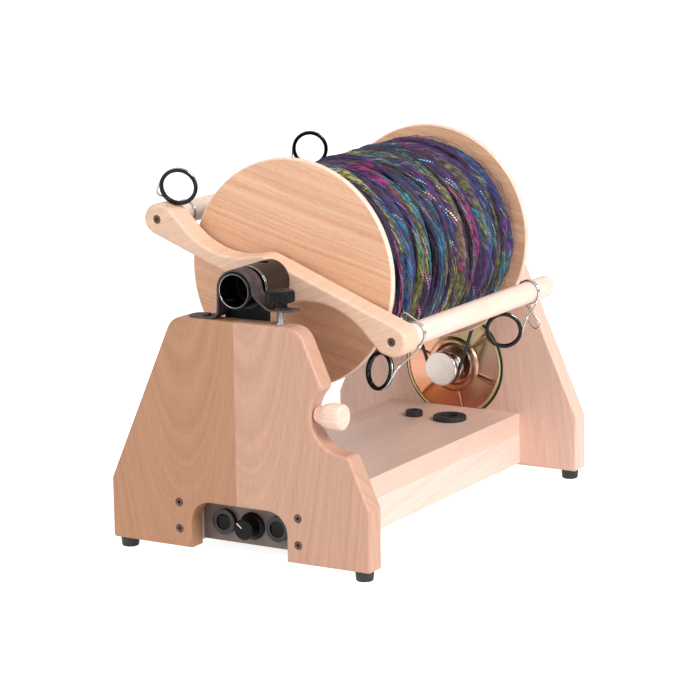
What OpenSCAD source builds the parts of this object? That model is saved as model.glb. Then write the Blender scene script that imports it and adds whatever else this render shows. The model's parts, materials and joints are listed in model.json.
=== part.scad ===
// Electric yarn spinner for art yarn: a wooden frame, a wide orifice, a flyer with
// two dowels and sliding ring guides, and a big bobbin driven by a belt from below.
// Millimetres. X is right, Y runs from the orifice to the back, Z is up.
// The origin is on the table, under the middle of the machine.

/* [Frame] */
// Overall depth over both uprights
depth = 519; // [500:1:540]
// Thickness of every board in the frame
board_t = 25; // [22:0.5:28]
// Width of an upright at the bottom
upright_w = 328; // [320:1:336]
// Width of an upright at the top
upright_top_w = 160; // [150:1:170]
// Height of an upright's top over the table
upright_top = 267; // [264:0.5:270]
// Height at which the upright's straight sides start to lean in
shoulder_z = 78.5; // [70:0.5:90]
// Radius of the upright's upper corners
upright_corner = 22; // [10:1:30]
// Half width of the arch in the front upright
arch_half_w = 61; // [60:0.5:62]
// Height of the arch's crown over the table
arch_top = 64; // [62:0.5:66]
// Height of the rubber feet, which is also the uprights' underside
foot_h = 11; // [9:0.5:13]
// Half width of the base box
box_half_w = 88.4; // [86:0.2:90]
// Height of the base box's top over the table
box_top = 76; // [75:0.5:77]
// Radius of the scallop that the threading hook's handle sits in
scallop_r = 38.5; // [36:0.5:40]

/* [Flyer] */
// Height of the flyer's axis over the table
axis_z = 300.3; // [299:0.1:302]
// How far the flyer stands turned at rest
tilt = 20.6; // [0:0.1:30]
// Distance of each dowel from the axis
dowel_reach = 158; // [156:0.5:160]
// Diameter of a dowel
dowel_d = 25; // [24:0.5:26]
// Thickness of the flyer's arm
arm_t = 32; // [30:1:33]
// Bore of the orifice
orifice_d = 35; // [30:0.5:36]
// Outside diameter of the orifice tube
tube_d = 40; // [39:0.5:42]
// Outside diameter of a ring guide
ring_d = 42.8; // [38:0.2:46]
// Wire diameter of the ring guide's clip
wire_d = 2.2; // [1.8:0.1:2.4]

/* [Bobbin] */
// Diameter of a bobbin flange
flange_d = 255; // [240:1:256]
// Thickness of a bobbin flange
flange_t = 7.5; // [6:0.5:8]
// Radius of the solid yarn under the outer layer
yarn_core_r = 104.4; // [90:0.1:104.4]
// Loops of yarn in the outer layer
yarn_loops = 24; // [12:1:24]
// Radius of the yarn as drawn
yarn_r = 5.35; // [4:0.05:5.35]

/* [Drive] */
// Height of the motor's axis over the table
motor_z = 128.3; // [127:0.1:130]
// Radius of the belt's centre line on the bobbin's whorl
whorl_belt_r = 76; // [70:0.5:84]
// Radius of the belt's centre line on the motor pulley
pulley_belt_r = 19.6; // [19:0.1:20]
// Diameter of the round drive belt
belt_d = 4.5; // [4:0.1:5]

/* [Hidden] */
$fn = 64;

// Depths below are measured from the front upright's front face.
rear_face = depth - board_t;
bottom_z = foot_h;
box_bottom = bottom_z + 3;
slip = 0.05;
gap = 0.3;

tube_front = 1;
hub_front = 34;
collar_t = 4.4;
arm_front = 78;
arm_back = arm_front + arm_t;
flange_front = 117.5;
rear_flange_front = 435;
bobbin_front = flange_front + flange_t;
dowel_back = 447;
whorl_front = 459;
whorl_back = 475;
belt_depth = (whorl_front + whorl_back) / 2;
pulley_front = 458;
pulley_back = 478;
rear_block_front = rear_face - 12;
shaft_r = 6;
hub_r = 22.8;
exit_hole_depth = 60;
strap_front = 3;
strap_w = 21;
strap_t = 2.4;
stud_x = 50.5;
stud_depth = strap_front + strap_w / 2;
stud_r = 3.8;
strap_end_z = 281.5;
panel_front = 30;
panel_t = 3;
control_x = 34.2;
control_z = 38;
knob_z = 36.5;
bezel_h = 6;
rocker_depth = panel_front - 1;
rocker_throw = 7;
rocker_pin_r = 1.2;
pointer_angle = 142;
hook_z = 174;
hook_depth = board_t / 2;
scallop_x = 131.6;
handle_r = 14.5;
handle_end_r = 8.5;
lip_r = 7;
hook_hole_r = 5;
motor_body_r = 45;
motor_body_depth = 19;
plate_r = 65.5;
foot_x = 150;
block_half_w = 26.5;
block_t = 7;
saddle_r = hub_r + gap;
liner_back = hub_front - collar_t - gap;
block_screw = 24;
block_bottom = 232;
screw_x = 75.5;
// Each orifice reducer's place [x, depth, plug radius], and how deep its hole is
small = [-18, 424, 8.5];
large = [30, 425, 17.3];
plug_depth = 8;
guide_offset = 40.2;
band_back = 38;
// Depth of each ring guide, its lean about its dowel, and the turn of its ring about its stem
guide_depth = [95, 397, 88, 360];
guide_lean = [7, -12, 9.5, -4];
guide_turn = [25, 25, 25, -25];

// The hook's handle stands proud of the front face, so the middle lies that much forward.
function at(d) = d - (depth - handle_r + board_t / 2) / 2;

// A rounded outline: each corner is [x, z, radius].
function unit(v) = v / norm(v);
function corner(a, b, c) =
    let (r = b[2], p = [b[0], b[1]], u = unit([a[0], a[1]] - p), w = unit([c[0], c[1]] - p))
    let (half = acos(u * w) / 2, m = p + unit(u + w) * r / sin(half))
    let (s = p + u * r / tan(half) - m, e = p + w * r / tan(half) - m)
    let (a0 = atan2(s[1], s[0]), turn = atan2(e[1], e[0]) - a0)
    let (sweep = turn > 180 ? turn - 360 : turn < -180 ? turn + 360 : turn)
    [for (i = [0:8]) m + r * [cos(a0 + sweep * i / 8), sin(a0 + sweep * i / 8)]];
function rounded(p) = let (n = len(p))
    [for (i = [0:n - 1]) each p[i][2] == 0 ? [[p[i][0], p[i][1]]]
        : corner(p[(i + n - 1) % n], p[i], p[(i + 1) % n])];

// Cylinders along Y, X and Z. Y ones run from depth d0 to depth d1.
module ycyl(x, z, d0, d1, r) {
    translate([x, at(d0), z]) rotate([-90, 0, 0]) cylinder(r = r, h = d1 - d0);
}
module xcyl(x0, x1, d, z, r) {
    translate([x0, at(d), z]) rotate([0, 90, 0]) cylinder(r = r, h = x1 - x0);
}
module zcyl(x, d, z0, z1, r) {
    translate([x, at(d), z0]) cylinder(r = r, h = z1 - z0);
}
module yslab(d0, d1) {
    translate([0, at(d1), 0]) rotate([90, 0, 0]) linear_extrude(d1 - d0) children();
}
module block(x0, x1, d0, d1, z0, z1) {
    translate([x0, at(d0), z0]) cube([x1 - x0, d1 - d0, z1 - z0]);
}
module flyer_frame() {
    translate([0, 0, axis_z]) rotate([0, tilt, 0]) children();
}
// A countersunk screw along Z with its head's face at the origin, going down.
module screw(head_r, shank_r, length) {
    rotate_extrude() polygon([[0, 0], [head_r, 0], [head_r, -0.6], [shank_r, -head_r + shank_r - 0.6],
        [shank_r, -length], [0, -length]]);
}
module socket(r, deep) {
    translate([0, 0, -deep]) cylinder(r = r, h = deep + 1, $fn = 6);
}

// ---- Frame ----

function arc(centre, r, from, to, steps) = [for (i = [0:steps])
    let (a = from + (to - from) * i / steps) centre + r * [cos(a), sin(a)]];
function heading(v) = atan2(v[1], v[0]);
// The scallop cuts into the right side, which leans. Its lips are arcs that touch both.
scallop = [scallop_x, hook_z];
side_way = unit([upright_top_w - upright_w, 2 * (upright_top - shoulder_z)]);
side_in = [-side_way[1], side_way[0]];
function lip(up) =
    let (q = [upright_w / 2, shoulder_z] + lip_r * side_in - scallop, along = q * side_way)
        scallop + q - side_way * (along - up * sqrt(along ^ 2 - q * q + (scallop_r + lip_r) ^ 2));
low_lip = heading(lip(-1) - scallop);
high_lip = heading(lip(1) - scallop);
scallop_edge = concat(
    arc(lip(-1), lip_r, heading(-side_in), low_lip + 180, 8),
    arc(scallop, scallop_r, low_lip, high_lip - 360, 32),
    arc(lip(1), lip_r, high_lip - 180, heading(-side_in), 8));
module upright_outline(right_edge) {
    half = upright_w / 2;
    top = upright_top_w / 2;
    polygon(rounded(concat(
        [[-half, bottom_z, 4], [half, bottom_z, 4], [half, shoulder_z, 8]],
        [for (p = right_edge) [p[0], p[1], 0]],
        [[top, upright_top, upright_corner], [-top, upright_top, upright_corner],
            [-half, shoulder_z, 8]])));
}
module arch_outline(grow) {
    half = arch_half_w + grow;
    polygon(rounded([[-half, bottom_z - 5, 0], [half, bottom_z - 5, 0],
        [half, arch_top + grow, 24], [-half, arch_top + grow, 24]]));
}
module frame_screw_places() {
    for (side = [-1, 1], z = [61, 31.5]) {
        translate([side * screw_x, at(0), z]) rotate([90, 0, 0]) children();
        translate([side * screw_x, at(depth), z]) rotate([-90, 0, 0]) children();
    }
}
module foot_places() {
    for (side = [-1, 1], d = [board_t / 2, depth - board_t / 2])
        translate([side * foot_x, at(d), 0]) children();
}
module block_screw_places() {
    for (side = [-1, 1]) {
        translate([side * 18, at(board_t + block_t), 242]) rotate([-90, 0, 0]) children();
        translate([side * 18, at(rear_block_front), 242]) rotate([90, 0, 0]) children();
    }
}

module front_upright() {
    color("burlywood") difference() {
        yslab(0, board_t) difference() {
            upright_outline(scallop_edge);
            arch_outline(0);
        }
        xcyl(-40, scallop_x, hook_depth, hook_z, hook_hole_r);
        zcyl(stud_x, stud_depth, upright_top - 30, upright_top + 1, stud_r);
        zcyl(-42, stud_depth, upright_top - 22, upright_top + 1, 2);
        frame_screw_places() screw_hole(60);
        block_screw_places() screw_hole(block_screw + 1);
        foot_places() foot_hole();
    }
}
module screw_hole(length) {
    translate([0, 0, 0.1]) screw(4.9, 2.5, length);
}
module foot_hole() {
    translate([0, 0, foot_h - 6]) cylinder(r = 2, h = 26);
}

module rear_upright() {
    color("burlywood") difference() {
        yslab(rear_face, depth) upright_outline([]);
        ycyl(0, motor_z, rear_face - 1, rear_face + motor_body_depth + 0.5, motor_body_r + 1);
        ycyl(40, 36, rear_face - 1, depth + 1, 6);
        frame_screw_places() screw_hole(60);
        block_screw_places() screw_hole(block_screw + 1);
        plate_screw_places() screw_hole(board_t + 1);
        foot_places() foot_hole();
    }
}

// The panel stands behind the arch, in a rebate under the top board and the rail.
panel_half_w = box_half_w - board_t;
panel_top = arch_top + 1.5;
module panel_room() {
    block(-panel_half_w, panel_half_w, board_t - 1, panel_front + panel_t + gap,
        box_top - board_t - 1, panel_top + gap);
}
module top_board() {
    color("wheat") difference() {
        block(-53, box_half_w, board_t, rear_face, box_top - board_t, box_top);
        panel_room();
        frame_screw_places() screw_hole(60);
        for (r = [small, large]) zcyl(r[0], r[1], box_top - plug_depth, box_top + 1, r[2] + gap);
    }
}
module left_rail() {
    color("wheat") difference() {
        block(-box_half_w, -53.6, board_t, rear_face, box_top - board_t, box_top);
        panel_room();
        frame_screw_places() screw_hole(60);
    }
}
module side_boards() {
    outer = box_half_w;
    inner = box_half_w - board_t;
    color("wheat") difference() {
        for (x = [-outer, inner])
            block(x, x + board_t, board_t, rear_face, box_bottom, box_top - board_t);
        frame_screw_places() screw_hole(60);
    }
}
module base_floor() {
    inner = box_half_w - board_t;
    color("tan") block(-inner, inner, panel_front + panel_t + gap, rear_face - 1, box_bottom,
        box_bottom + 4);
}
module frame_screws() {
    color("dimgray") frame_screw_places() difference() {
        translate([0, 0, -0.2]) screw(4.5, 2.3, 55);
        socket(2, 2.5);
    }
}
module rubber_feet() {
    color([0.08, 0.08, 0.08]) foot_places() difference() {
        rotate_extrude() polygon([[0, 0], [8.5, 0], [9.4, 1.2], [10.5, foot_h], [0, foot_h]]);
        translate([0, 0, -1]) cylinder(r = 4, h = 6);
        cylinder(r = 2.1, h = foot_h + 1);
    }
}
module foot_screws() {
    color("silver") foot_places() {
        translate([0, 0, 3]) cylinder(r = 3.6, h = 2);
        translate([0, 0, 4]) cylinder(r = 1.9, h = 24);
    }
}

// ---- Orifice bearing and brake ----

module front_bearing_block() {
    color([0.1, 0.1, 0.1]) difference() {
        block(-block_half_w, block_half_w, board_t, board_t + block_t, block_bottom, axis_z - 4);
        ycyl(0, axis_z, board_t - 1, board_t + block_t + 1, saddle_r);
        block_screw_places() screw_hole(block_screw + 1);
    }
}
module front_bearing_liner() {
    color("ivory") difference() {
        ycyl(0, axis_z, board_t, liner_back, saddle_r);
        ycyl(0, axis_z, board_t - 1, liner_back + 1, tube_d / 2 + slip);
        block(-40, 40, board_t - 1, liner_back + 1, axis_z - 4, axis_z + 40);
    }
}
module rear_bearing_block() {
    color([0.1, 0.1, 0.1]) difference() {
        union() {
            block(-block_half_w, block_half_w, rear_block_front, rear_face, block_bottom, axis_z);
            ycyl(0, axis_z, rear_block_front, rear_face, block_half_w);
        }
        ycyl(0, axis_z, rear_block_front - 1, rear_face - 2, 16);
        ycyl(0, axis_z, rear_block_front - 1, rear_face + 1, 8);
        block_screw_places() screw_hole(block_screw + 1);
    }
}
module rear_bearing() {
    color("silver") difference() {
        ycyl(0, axis_z, rear_block_front, rear_face - 2, 16);
        ycyl(0, axis_z, rear_block_front - 1, rear_face, shaft_r + slip);
        for (d = [rear_block_front, rear_face - 2]) difference() {
            ycyl(0, axis_z, d - 0.8, d + 0.8, 13.5);
            ycyl(0, axis_z, d - 0.8, d + 0.8, 9);
        }
    }
}
module block_screws() {
    color("dimgray") block_screw_places() difference() {
        translate([0, 0, -0.2]) screw(4.5, 2.3, block_screw);
        socket(2, 2.5);
    }
}

// The strap: a tail on the upright, up and over the tube, and down to the stud.
module strap_outline() {
    r0 = tube_d / 2 + gap;
    r1 = r0 + strap_t;
    foot = upright_top;
    low = strap_end_z;
    polygon(concat(
        [for (a = [180:-10:0]) [r1 * cos(a), axis_z + r1 * sin(a)]],
        [[r1 + 1, axis_z - 5], [stud_x - 12, low + strap_t], [stud_x + 22, low + strap_t],
            [stud_x + 22, low], [stud_x - 13, low], [r0 + 1.2, axis_z - 6.5]],
        [for (a = [0:10:180]) [r0 * cos(a), axis_z + r0 * sin(a)]],
        [[-r0, foot + 6], [-r0 - 5, foot], [-62, foot], [-62, foot + strap_t],
            [-r1 - 4, foot + strap_t], [-r1, foot + 7]]));
}
module brake_strap() {
    color([0.16, 0.12, 0.11]) difference() {
        yslab(strap_front, strap_front + strap_w) strap_outline();
        zcyl(stud_x, stud_depth, strap_end_z - 5, strap_end_z + 5, stud_r + gap);
        zcyl(-42, stud_depth, upright_top - 1, upright_top + 5, 2);
    }
}
module strap_screw() {
    color("dimgray") difference() {
        union() {
            zcyl(-42, stud_depth, upright_top + strap_t, upright_top + strap_t + 2, 4.5);
            zcyl(-42, stud_depth, upright_top - 20, upright_top + strap_t + 1, 1.9);
        }
        translate([-42, at(stud_depth), upright_top + strap_t + 2]) socket(1.8, 1.5);
    }
}
module tension_stud() {
    color("lightgray") zcyl(stud_x, stud_depth, upright_top - 30, strap_end_z + 16, stud_r);
    color("lightgray") translate([stud_x, at(stud_depth), upright_top])
        cylinder(r = 6.8, h = 2.4, $fn = 6);
}
module tension_washer() {
    color("silver") difference() {
        zcyl(stud_x, stud_depth, strap_end_z + strap_t + 0.1, strap_end_z + strap_t + 1.6, 8);
        zcyl(stud_x, stud_depth, strap_end_z, strap_end_z + 9, stud_r + slip);
    }
}
module tension_knob() {
    low = strap_end_z + strap_t + 1.7;
    color([0.09, 0.09, 0.09]) translate([stud_x, at(stud_depth), low]) difference() {
        rotate_extrude() polygon([[0, 0], [7.5, 0], [7.5, 5], [14.5, 6], [15.8, 7.2], [15.8, 15.5],
            [14.8, 17.5], [12.5, 18.5], [0, 18.5]]);
        translate([0, 0, -1]) cylinder(r = stud_r + slip, h = 14);
        for (i = [0:7]) rotate([0, 0, i * 45]) translate([18.2, 0, 4]) cylinder(r = 4.4, h = 20);
    }
}

// ---- Controls ----

module control_panel() {
    color([0.35, 0.31, 0.27]) difference() {
        block(-panel_half_w + gap, panel_half_w - gap, panel_front, panel_front + panel_t,
            box_bottom + 1.5, panel_top);
        for (x = [-control_x, control_x])
            ycyl(x, control_z, panel_front - 1, panel_front + panel_t + 1, 10.2);
        ycyl(0, knob_z, panel_front - 1, panel_front + panel_t + 1, 4);
    }
}
module switch_housings() {
    for (x = [-control_x, control_x]) {
        color([0.07, 0.07, 0.07]) difference() {
            union() {
                ycyl(x, control_z, panel_front - bezel_h, panel_front, 14);
                ycyl(x, control_z, panel_front, panel_front + 22, 10);
            }
            ycyl(x, control_z, panel_front - bezel_h - 1, panel_front + 12, 9);
            xcyl(x - 9.7, x + 9.7, rocker_depth, control_z, rocker_pin_r + slip);
        }
        color("silver") ycyl(x, control_z, panel_front + 22, panel_front + 27, 3);
    }
}
// A round rocker on two stub pins, with a dished face.
module rocker(x, lean) {
    color([0.12, 0.12, 0.12]) translate([x, at(rocker_depth), control_z]) rotate([lean, 0, 0]) {
        difference() {
            translate([0, 4, 0]) rotate([90, 0, 0]) cylinder(r = 8.3, h = 9.5);
            translate([-10, -28, 0]) rotate([0, 90, 0]) cylinder(r = 24.6, h = 20);
        }
        translate([-9.5, 0, 0]) rotate([0, 90, 0]) cylinder(r = rocker_pin_r, h = 19);
    }
}
module power_rocker() { rocker(-control_x, rocker_throw); }
module direction_rocker() { rocker(control_x, 0); }
module speed_pot() {
    color("dimgray") ycyl(0, knob_z, panel_front + panel_t, panel_front + 14, 8.5);
    color("silver") ycyl(0, knob_z, panel_front - 14, panel_front + 5, 3);
}
module speed_knob() {
    color([0.08, 0.08, 0.08]) translate([0, at(panel_front - 0.4), knob_z]) rotate([90, 0, 0])
        difference() {
            rotate_extrude() polygon([[0, 0], [15.4, 0], [15.4, 1.6], [13.6, 3.4], [12, 4.6],
                [11.6, 19], [10.9, 19.8], [0, 19.8]]);
            translate([0, 0, -1]) cylinder(r = 3 + slip, h = 15);
            for (i = [0:19]) rotate([0, 0, i * 18]) translate([12.4, 0, 5.5])
                cylinder(r = 0.9, h = 18);
            rotate([0, 0, pointer_angle]) translate([2.5, -0.6, 19.3]) cube([8, 1.2, 2]);
        }
}
module controller_board() {
    color("darkgreen") block(-45, 45, 70, 160, box_bottom + 10, box_bottom + 12);
    color("dimgray") block(-30, -12, 90, 120, box_bottom + 12, box_bottom + 26);
    color("dimgray") for (x = [8, 26]) zcyl(x, 105, box_bottom + 12, box_bottom + 27, 6);
    color("dimgray") for (x = [-38, 38], d = [77, 153])
        zcyl(x, d, box_bottom + 4, box_bottom + 10, 3);
}
module power_inlet() {
    color([0.08, 0.08, 0.08]) difference() {
        union() {
            ycyl(40, 36, depth - 14, depth - 1.2, 6);
            ycyl(40, 36, depth - 1.2, depth - 0.2, 6);
        }
        ycyl(40, 36, depth - 11, depth + 1, 3);
    }
}

// ---- Drive ----

// The motor hangs on the plate by four screws behind the pulley. Four longer ones hold the
// plate, from the back of the upright.
module motor_screw_places() {
    for (a = [45:90:315])
        translate([16 * cos(a), at(rear_face), motor_z + 16 * sin(a)]) rotate([90, 0, 0]) children();
}
module plate_screw_places() {
    for (a = [30, 150, 235, 305])
        translate([55 * cos(a), at(depth), motor_z + 52 * sin(a)]) rotate([-90, 0, 0]) children();
}
// A pressed steel disc, cut flat where it meets the box, with six raised ribs.
module motor_plate() {
    color([0.78, 0.66, 0.42]) difference() {
        union() {
            ycyl(0, motor_z, rear_face - 2, rear_face, plate_r);
            difference() {
                ycyl(0, motor_z, rear_face - 5, rear_face - 1, 31);
                ycyl(0, motor_z, rear_face - 6, rear_face - 3, 24);
            }
            for (i = [0:5]) translate([0, 0, motor_z]) rotate([0, i * 60 - 42, 0])
                block(30, 60, rear_face - 4, rear_face - 1, -3, 3);
        }
        block(-80, 80, rear_face - 10, rear_face + 1, 0, box_top + 0.5);
        ycyl(0, motor_z, rear_face - 10, rear_face + 1, 9);
        motor_screw_places() cylinder(r = 1.8, h = 10, center = true);
        plate_screw_places() translate([0, 0, -board_t - 1.5]) cylinder(r = 2.5, h = 3);
    }
}
module motor_body() {
    color("dimgray") difference() {
        ycyl(0, motor_z, rear_face, rear_face + motor_body_depth, motor_body_r);
        motor_screw_places() cylinder(r = 1.8, h = 20, center = true);
        ycyl(0, motor_z, rear_face - 1, rear_face + 10, 4 + slip);
    }
}
module motor_screws() {
    color("silver") motor_screw_places() difference() {
        union() {
            translate([0, 0, 3]) cylinder(r = 3.4, h = 1.8);
            translate([0, 0, -9]) cylinder(r = 1.7, h = 13);
        }
        translate([0, 0, 4.8]) socket(1.5, 1);
    }
    color("silver") plate_screw_places() difference() {
        translate([0, 0, -0.2]) screw(4.5, 2.3, board_t + 1);
        socket(2, 2.5);
    }
}
module motor_shaft() {
    color("silver") ycyl(0, motor_z, pulley_front + 3, rear_face + 9, 4);
}
module motor_pulley() {
    bottom = pulley_belt_r - belt_d / 2 - gap;
    color("lightgray") translate([0, at(pulley_back), motor_z]) rotate([90, 0, 0]) difference() {
        rotate_extrude() polygon([[0, 0], [21, 0], [21, 7], [bottom, 9.2], [bottom, 12.8],
            [21, 15], [21, 19], [20, 20], [0, 20]]);
        translate([0, 0, -1]) cylinder(r = 4, h = 18);
    }
}
// The belt: a closed loop of two arcs, and the straight runs that touch them both.
belt_lean = asin((whorl_belt_r - pulley_belt_r) / (axis_z - motor_z));
belt_sides = 8;
// Each step of the loop is [x, z, direction in which the belt's outside faces].
function belt_arc(z, r, a0, a1, steps) =
    [for (i = [0:steps]) let (a = a0 + (a1 - a0) * i / steps) [r * cos(a), z + r * sin(a), a]];
belt_line = concat(belt_arc(axis_z, whorl_belt_r, -belt_lean, 180 + belt_lean, 36),
    belt_arc(motor_z, pulley_belt_r, 180 + belt_lean, 360 - belt_lean, 14));
module drive_belt() {
    n = len(belt_line) * belt_sides;
    points = [for (b = belt_line, k = [0:belt_sides - 1])
        let (a = 360 * (k + 0.5) / belt_sides, out = belt_d / 2 * cos(a))
            [b[0] + out * cos(b[2]), at(belt_depth) + belt_d / 2 * sin(a), b[1] + out * sin(b[2])]];
    walls = [for (i = [0:belt_sides:n - 1], k = [0:belt_sides - 1])
        let (a = i + k, b = i + (k + 1) % belt_sides)
            each [[a, (a + belt_sides) % n, b], [b, (a + belt_sides) % n, (b + belt_sides) % n]]];
    color([0.06, 0.06, 0.06]) polyhedron(points = points, faces = walls);
}

// ---- Flyer ----

// One blade of the arm: hollowed by an arc along one edge, round at its end, and
// straight along the other edge. The second blade is the first one turned half round.
blade_edge = 19.6;
crest_r = 26;
lobe_r = 17.3;
hollow_r = 92;
hollow_at = [-84, 89.2];
blade = concat(
    [[-22.5, blade_edge, crest_r]],
    [for (a = [-56:-8:-120]) [hollow_at[0] + hollow_r * cos(a), hollow_at[1] + hollow_r * sin(a), 0]],
    [[-dowel_reach + 9, lobe_r + 0.5, 12]],
    [for (a = [105:15:270]) [-dowel_reach + lobe_r * cos(a), lobe_r * sin(a), 0]]);
module arm_outline() {
    polygon(rounded(concat(blade, [for (p = blade) [-p[0], -p[1], p[2]]])));
}
module flyer_arm() {
    color("wheat") flyer_frame() difference() {
        yslab(arm_front, arm_back) arm_outline();
        ycyl(0, 0, arm_front - 1, arm_front + 12, 16);
        ycyl(0, 0, arm_front - 1, arm_back + 1, shaft_r);
        for (side = [-1, 1]) {
            ycyl(side * dowel_reach, 0, arm_front + 10, arm_back + 1, dowel_d / 2);
            ycyl(side * dowel_reach, 0, arm_front - 1, arm_front + 11, 2.5);
            ycyl(side * dowel_reach, 0, arm_front - 1, arm_front + 3, 4.8);
        }
    }
}
module orifice_tube() {
    color([0.07, 0.07, 0.07]) difference() {
        ycyl(0, axis_z, tube_front, hub_front, tube_d / 2);
        ycyl(0, axis_z, tube_front - 1, hub_front + 1, orifice_d / 2);
    }
}
module orifice_hub() {
    color([0.17, 0.12, 0.11]) flyer_frame() difference() {
        union() {
            ycyl(0, 0, hub_front, arm_front, hub_r);
            ycyl(0, 0, arm_front - 1, arm_front + 12, 16);
        }
        ycyl(0, 0, hub_front - 1, arm_front - 4, orifice_d / 2 - 1);
        ycyl(0, 0, arm_front - 5, arm_front + 13, shaft_r);
        rotate([0, -tilt, 0]) translate([0, at(exit_hole_depth), 0])
            cylinder(r = 6.5, h = 40);
    }
}
module tube_collar() {
    color("silver") difference() {
        ycyl(0, axis_z, hub_front - collar_t, hub_front, hub_r);
        ycyl(0, axis_z, hub_front - 7, hub_front + 1, tube_d / 2);
        ycyl(0, axis_z, hub_front - 2.8, hub_front - 1.6, 40);
    }
    color("silver") difference() {
        ycyl(0, axis_z, hub_front - 3.4, hub_front - 1, tube_d / 2 + 1.2);
        ycyl(0, axis_z, hub_front - 7, hub_front + 1, tube_d / 2);
    }
}
module flyer_shaft() {
    color("silver") ycyl(0, axis_z, arm_front - 3, rear_face - 1, shaft_r);
}
module dowel(side) {
    color("wheat") flyer_frame() difference() {
        translate([side * dowel_reach, at(arm_front + 10), 0]) rotate([-90, 0, 0])
            rotate_extrude() polygon([[0, 0], [dowel_d / 2, 0],
                [dowel_d / 2, dowel_back - arm_front - 15], [dowel_d / 2 - 1.5, dowel_back - arm_front - 12],
                [dowel_d / 2 - 5, dowel_back - arm_front - 10], [0, dowel_back - arm_front - 10]]);
        ycyl(side * dowel_reach, 0, arm_front, arm_front + 45, 2);
    }
}
module left_dowel() { dowel(-1); }
module right_dowel() { dowel(1); }
module dowel_screws() {
    color([0.3, 0.2, 0.15]) flyer_frame() for (side = [-1, 1])
        translate([side * dowel_reach, at(arm_front), 0]) rotate([90, 0, 0]) difference() {
            union() {
                translate([0, 0, -3]) cylinder(r = 4.5, h = 2.8);
                translate([0, 0, -42]) cylinder(r = 1.9, h = 40);
            }
            socket(2, 2);
        }
}

// A ring guide stands beside its dowel, in the direction that the flyer turns.
module guide_place(i) {
    flyer_frame() rotate([0, i < 2 ? 0 : 180, 0]) translate([-dowel_reach, at(guide_depth[i]), 0])
        rotate([0, guide_lean[i], 0]) children();
}
module guide_ring(i) {
    r = ring_d / 2;
    color([0.05, 0.05, 0.05]) guide_place(i) translate([0, 0, guide_offset])
        rotate([0, 0, guide_turn[i]]) rotate([90, 0, 0]) rotate_extrude()
            polygon([[r - 4.4, -1.6], [r - 3.6, -2.9], [r - 1, -3], [r, -2.2], [r, -1.3],
                [r - 1.9, -1.3], [r - 1.9, 1.3], [r, 1.3], [r, 2.2], [r - 1, 3], [r - 3.6, 2.9],
                [r - 4.4, 1.6]]);
}
// A tube along a path, with its rings turned as little as the path allows.
function path_way(path, i) = let (n = len(path) - 1)
    unit(path[min(i + 1, n)] - path[max(i - 1, 0)]);
function square_to(v, way) = unit(v - (v * way) * way);
module tube(path, r, sides, start) {
    n = len(path);
    ups = [for (i = 0, v = square_to(start, path_way(path, 0)); i < n;
        i = i + 1, v = i < n ? square_to(v, path_way(path, i)) : v) v];
    points = [for (i = [0:n - 1]) let (side = cross(path_way(path, i), ups[i]))
        for (k = [0:sides - 1]) let (a = 360 * k / sides)
            path[i] + r * (cos(a) * ups[i] + sin(a) * side)];
    walls = [for (i = [0:n - 2], k = [0:sides - 1])
        let (a = sides * i + k, b = sides * i + (k + 1) % sides)
            each [[a, a + sides, b], [b, a + sides, b + sides]]];
    first = [for (k = [1:sides - 2]) [0, k, k + 1]];
    last = [for (k = [1:sides - 2]) sides * (n - 1) * [1, 1, 1] + [0, k + 1, k]];
    polyhedron(points = points, faces = concat(first, walls, last));
}
// The clip is one wire: round the ring, back along the dowel, round it, and out to a
// finger loop. The wire leaves the dowel at the angle leave and runs on for leg. The loop
// then turns back through a bend of radius bow, to the side that bow's sign says.
function bezier(a, b, c, d, t) =
    (1 - t) ^ 3 * a + 3 * (1 - t) ^ 2 * t * b + 3 * (1 - t) * t ^ 2 * c + t ^ 3 * d;
function clip_path(turn, leave, leg, bow) =
    let (w = wire_d / 2, ring_r = ring_d / 2 - 1.9 + w + 0.25, band_r = dowel_d / 2 + w + gap)
    let (rise = wire_d + 0.4, back = min(10, leg - 14), stem = [0, 0, 14])
    let (across = [cos(turn), sin(turn), 0], up = [0, 0, 1], centre = guide_offset * up)
    let (way = [-sin(leave), 0, cos(leave)], right = [cos(leave), 0, sin(leave)])
    let (off = [0, band_back + rise * (leave - 180) / 360, 0] + band_r * right)
    let (tip = off + leg * way, from = centre - ring_r * across - stem)
    concat(
        [for (a = [-165:15:180]) centre + ring_r * (cos(a) * across + sin(a) * up)],
        [for (t = [0:0.15:0.9])
            bezier(from, from - stem, [-band_r - 2, band_back, 16], [-band_r, band_back, 0], t)],
        [for (a = [180:15:leave])
            [band_r * cos(a), band_back + rise * (a - 180) / 360, band_r * sin(a)]],
        [tip],
        [for (a = [30:30:150]) tip + bow * (1 - cos(a)) * right + abs(bow) * sin(a) * way],
        [tip + 2 * bow * right, tip + 2 * bow * right - back * way]);
// Three loops lie on the bobbin's side of their dowel, and the fourth one points out.
function clip_of(i) = i == 3 ? clip_path(guide_turn[i], 780, 33, 5.5)
    : clip_path(guide_turn[i], 630, 19, -5);
module guide_clip(i) {
    color("silver") guide_place(i) tube(clip_of(i), wire_d / 2, 8, [0, 1, 0]);
}

// ---- Bobbin ----

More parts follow.
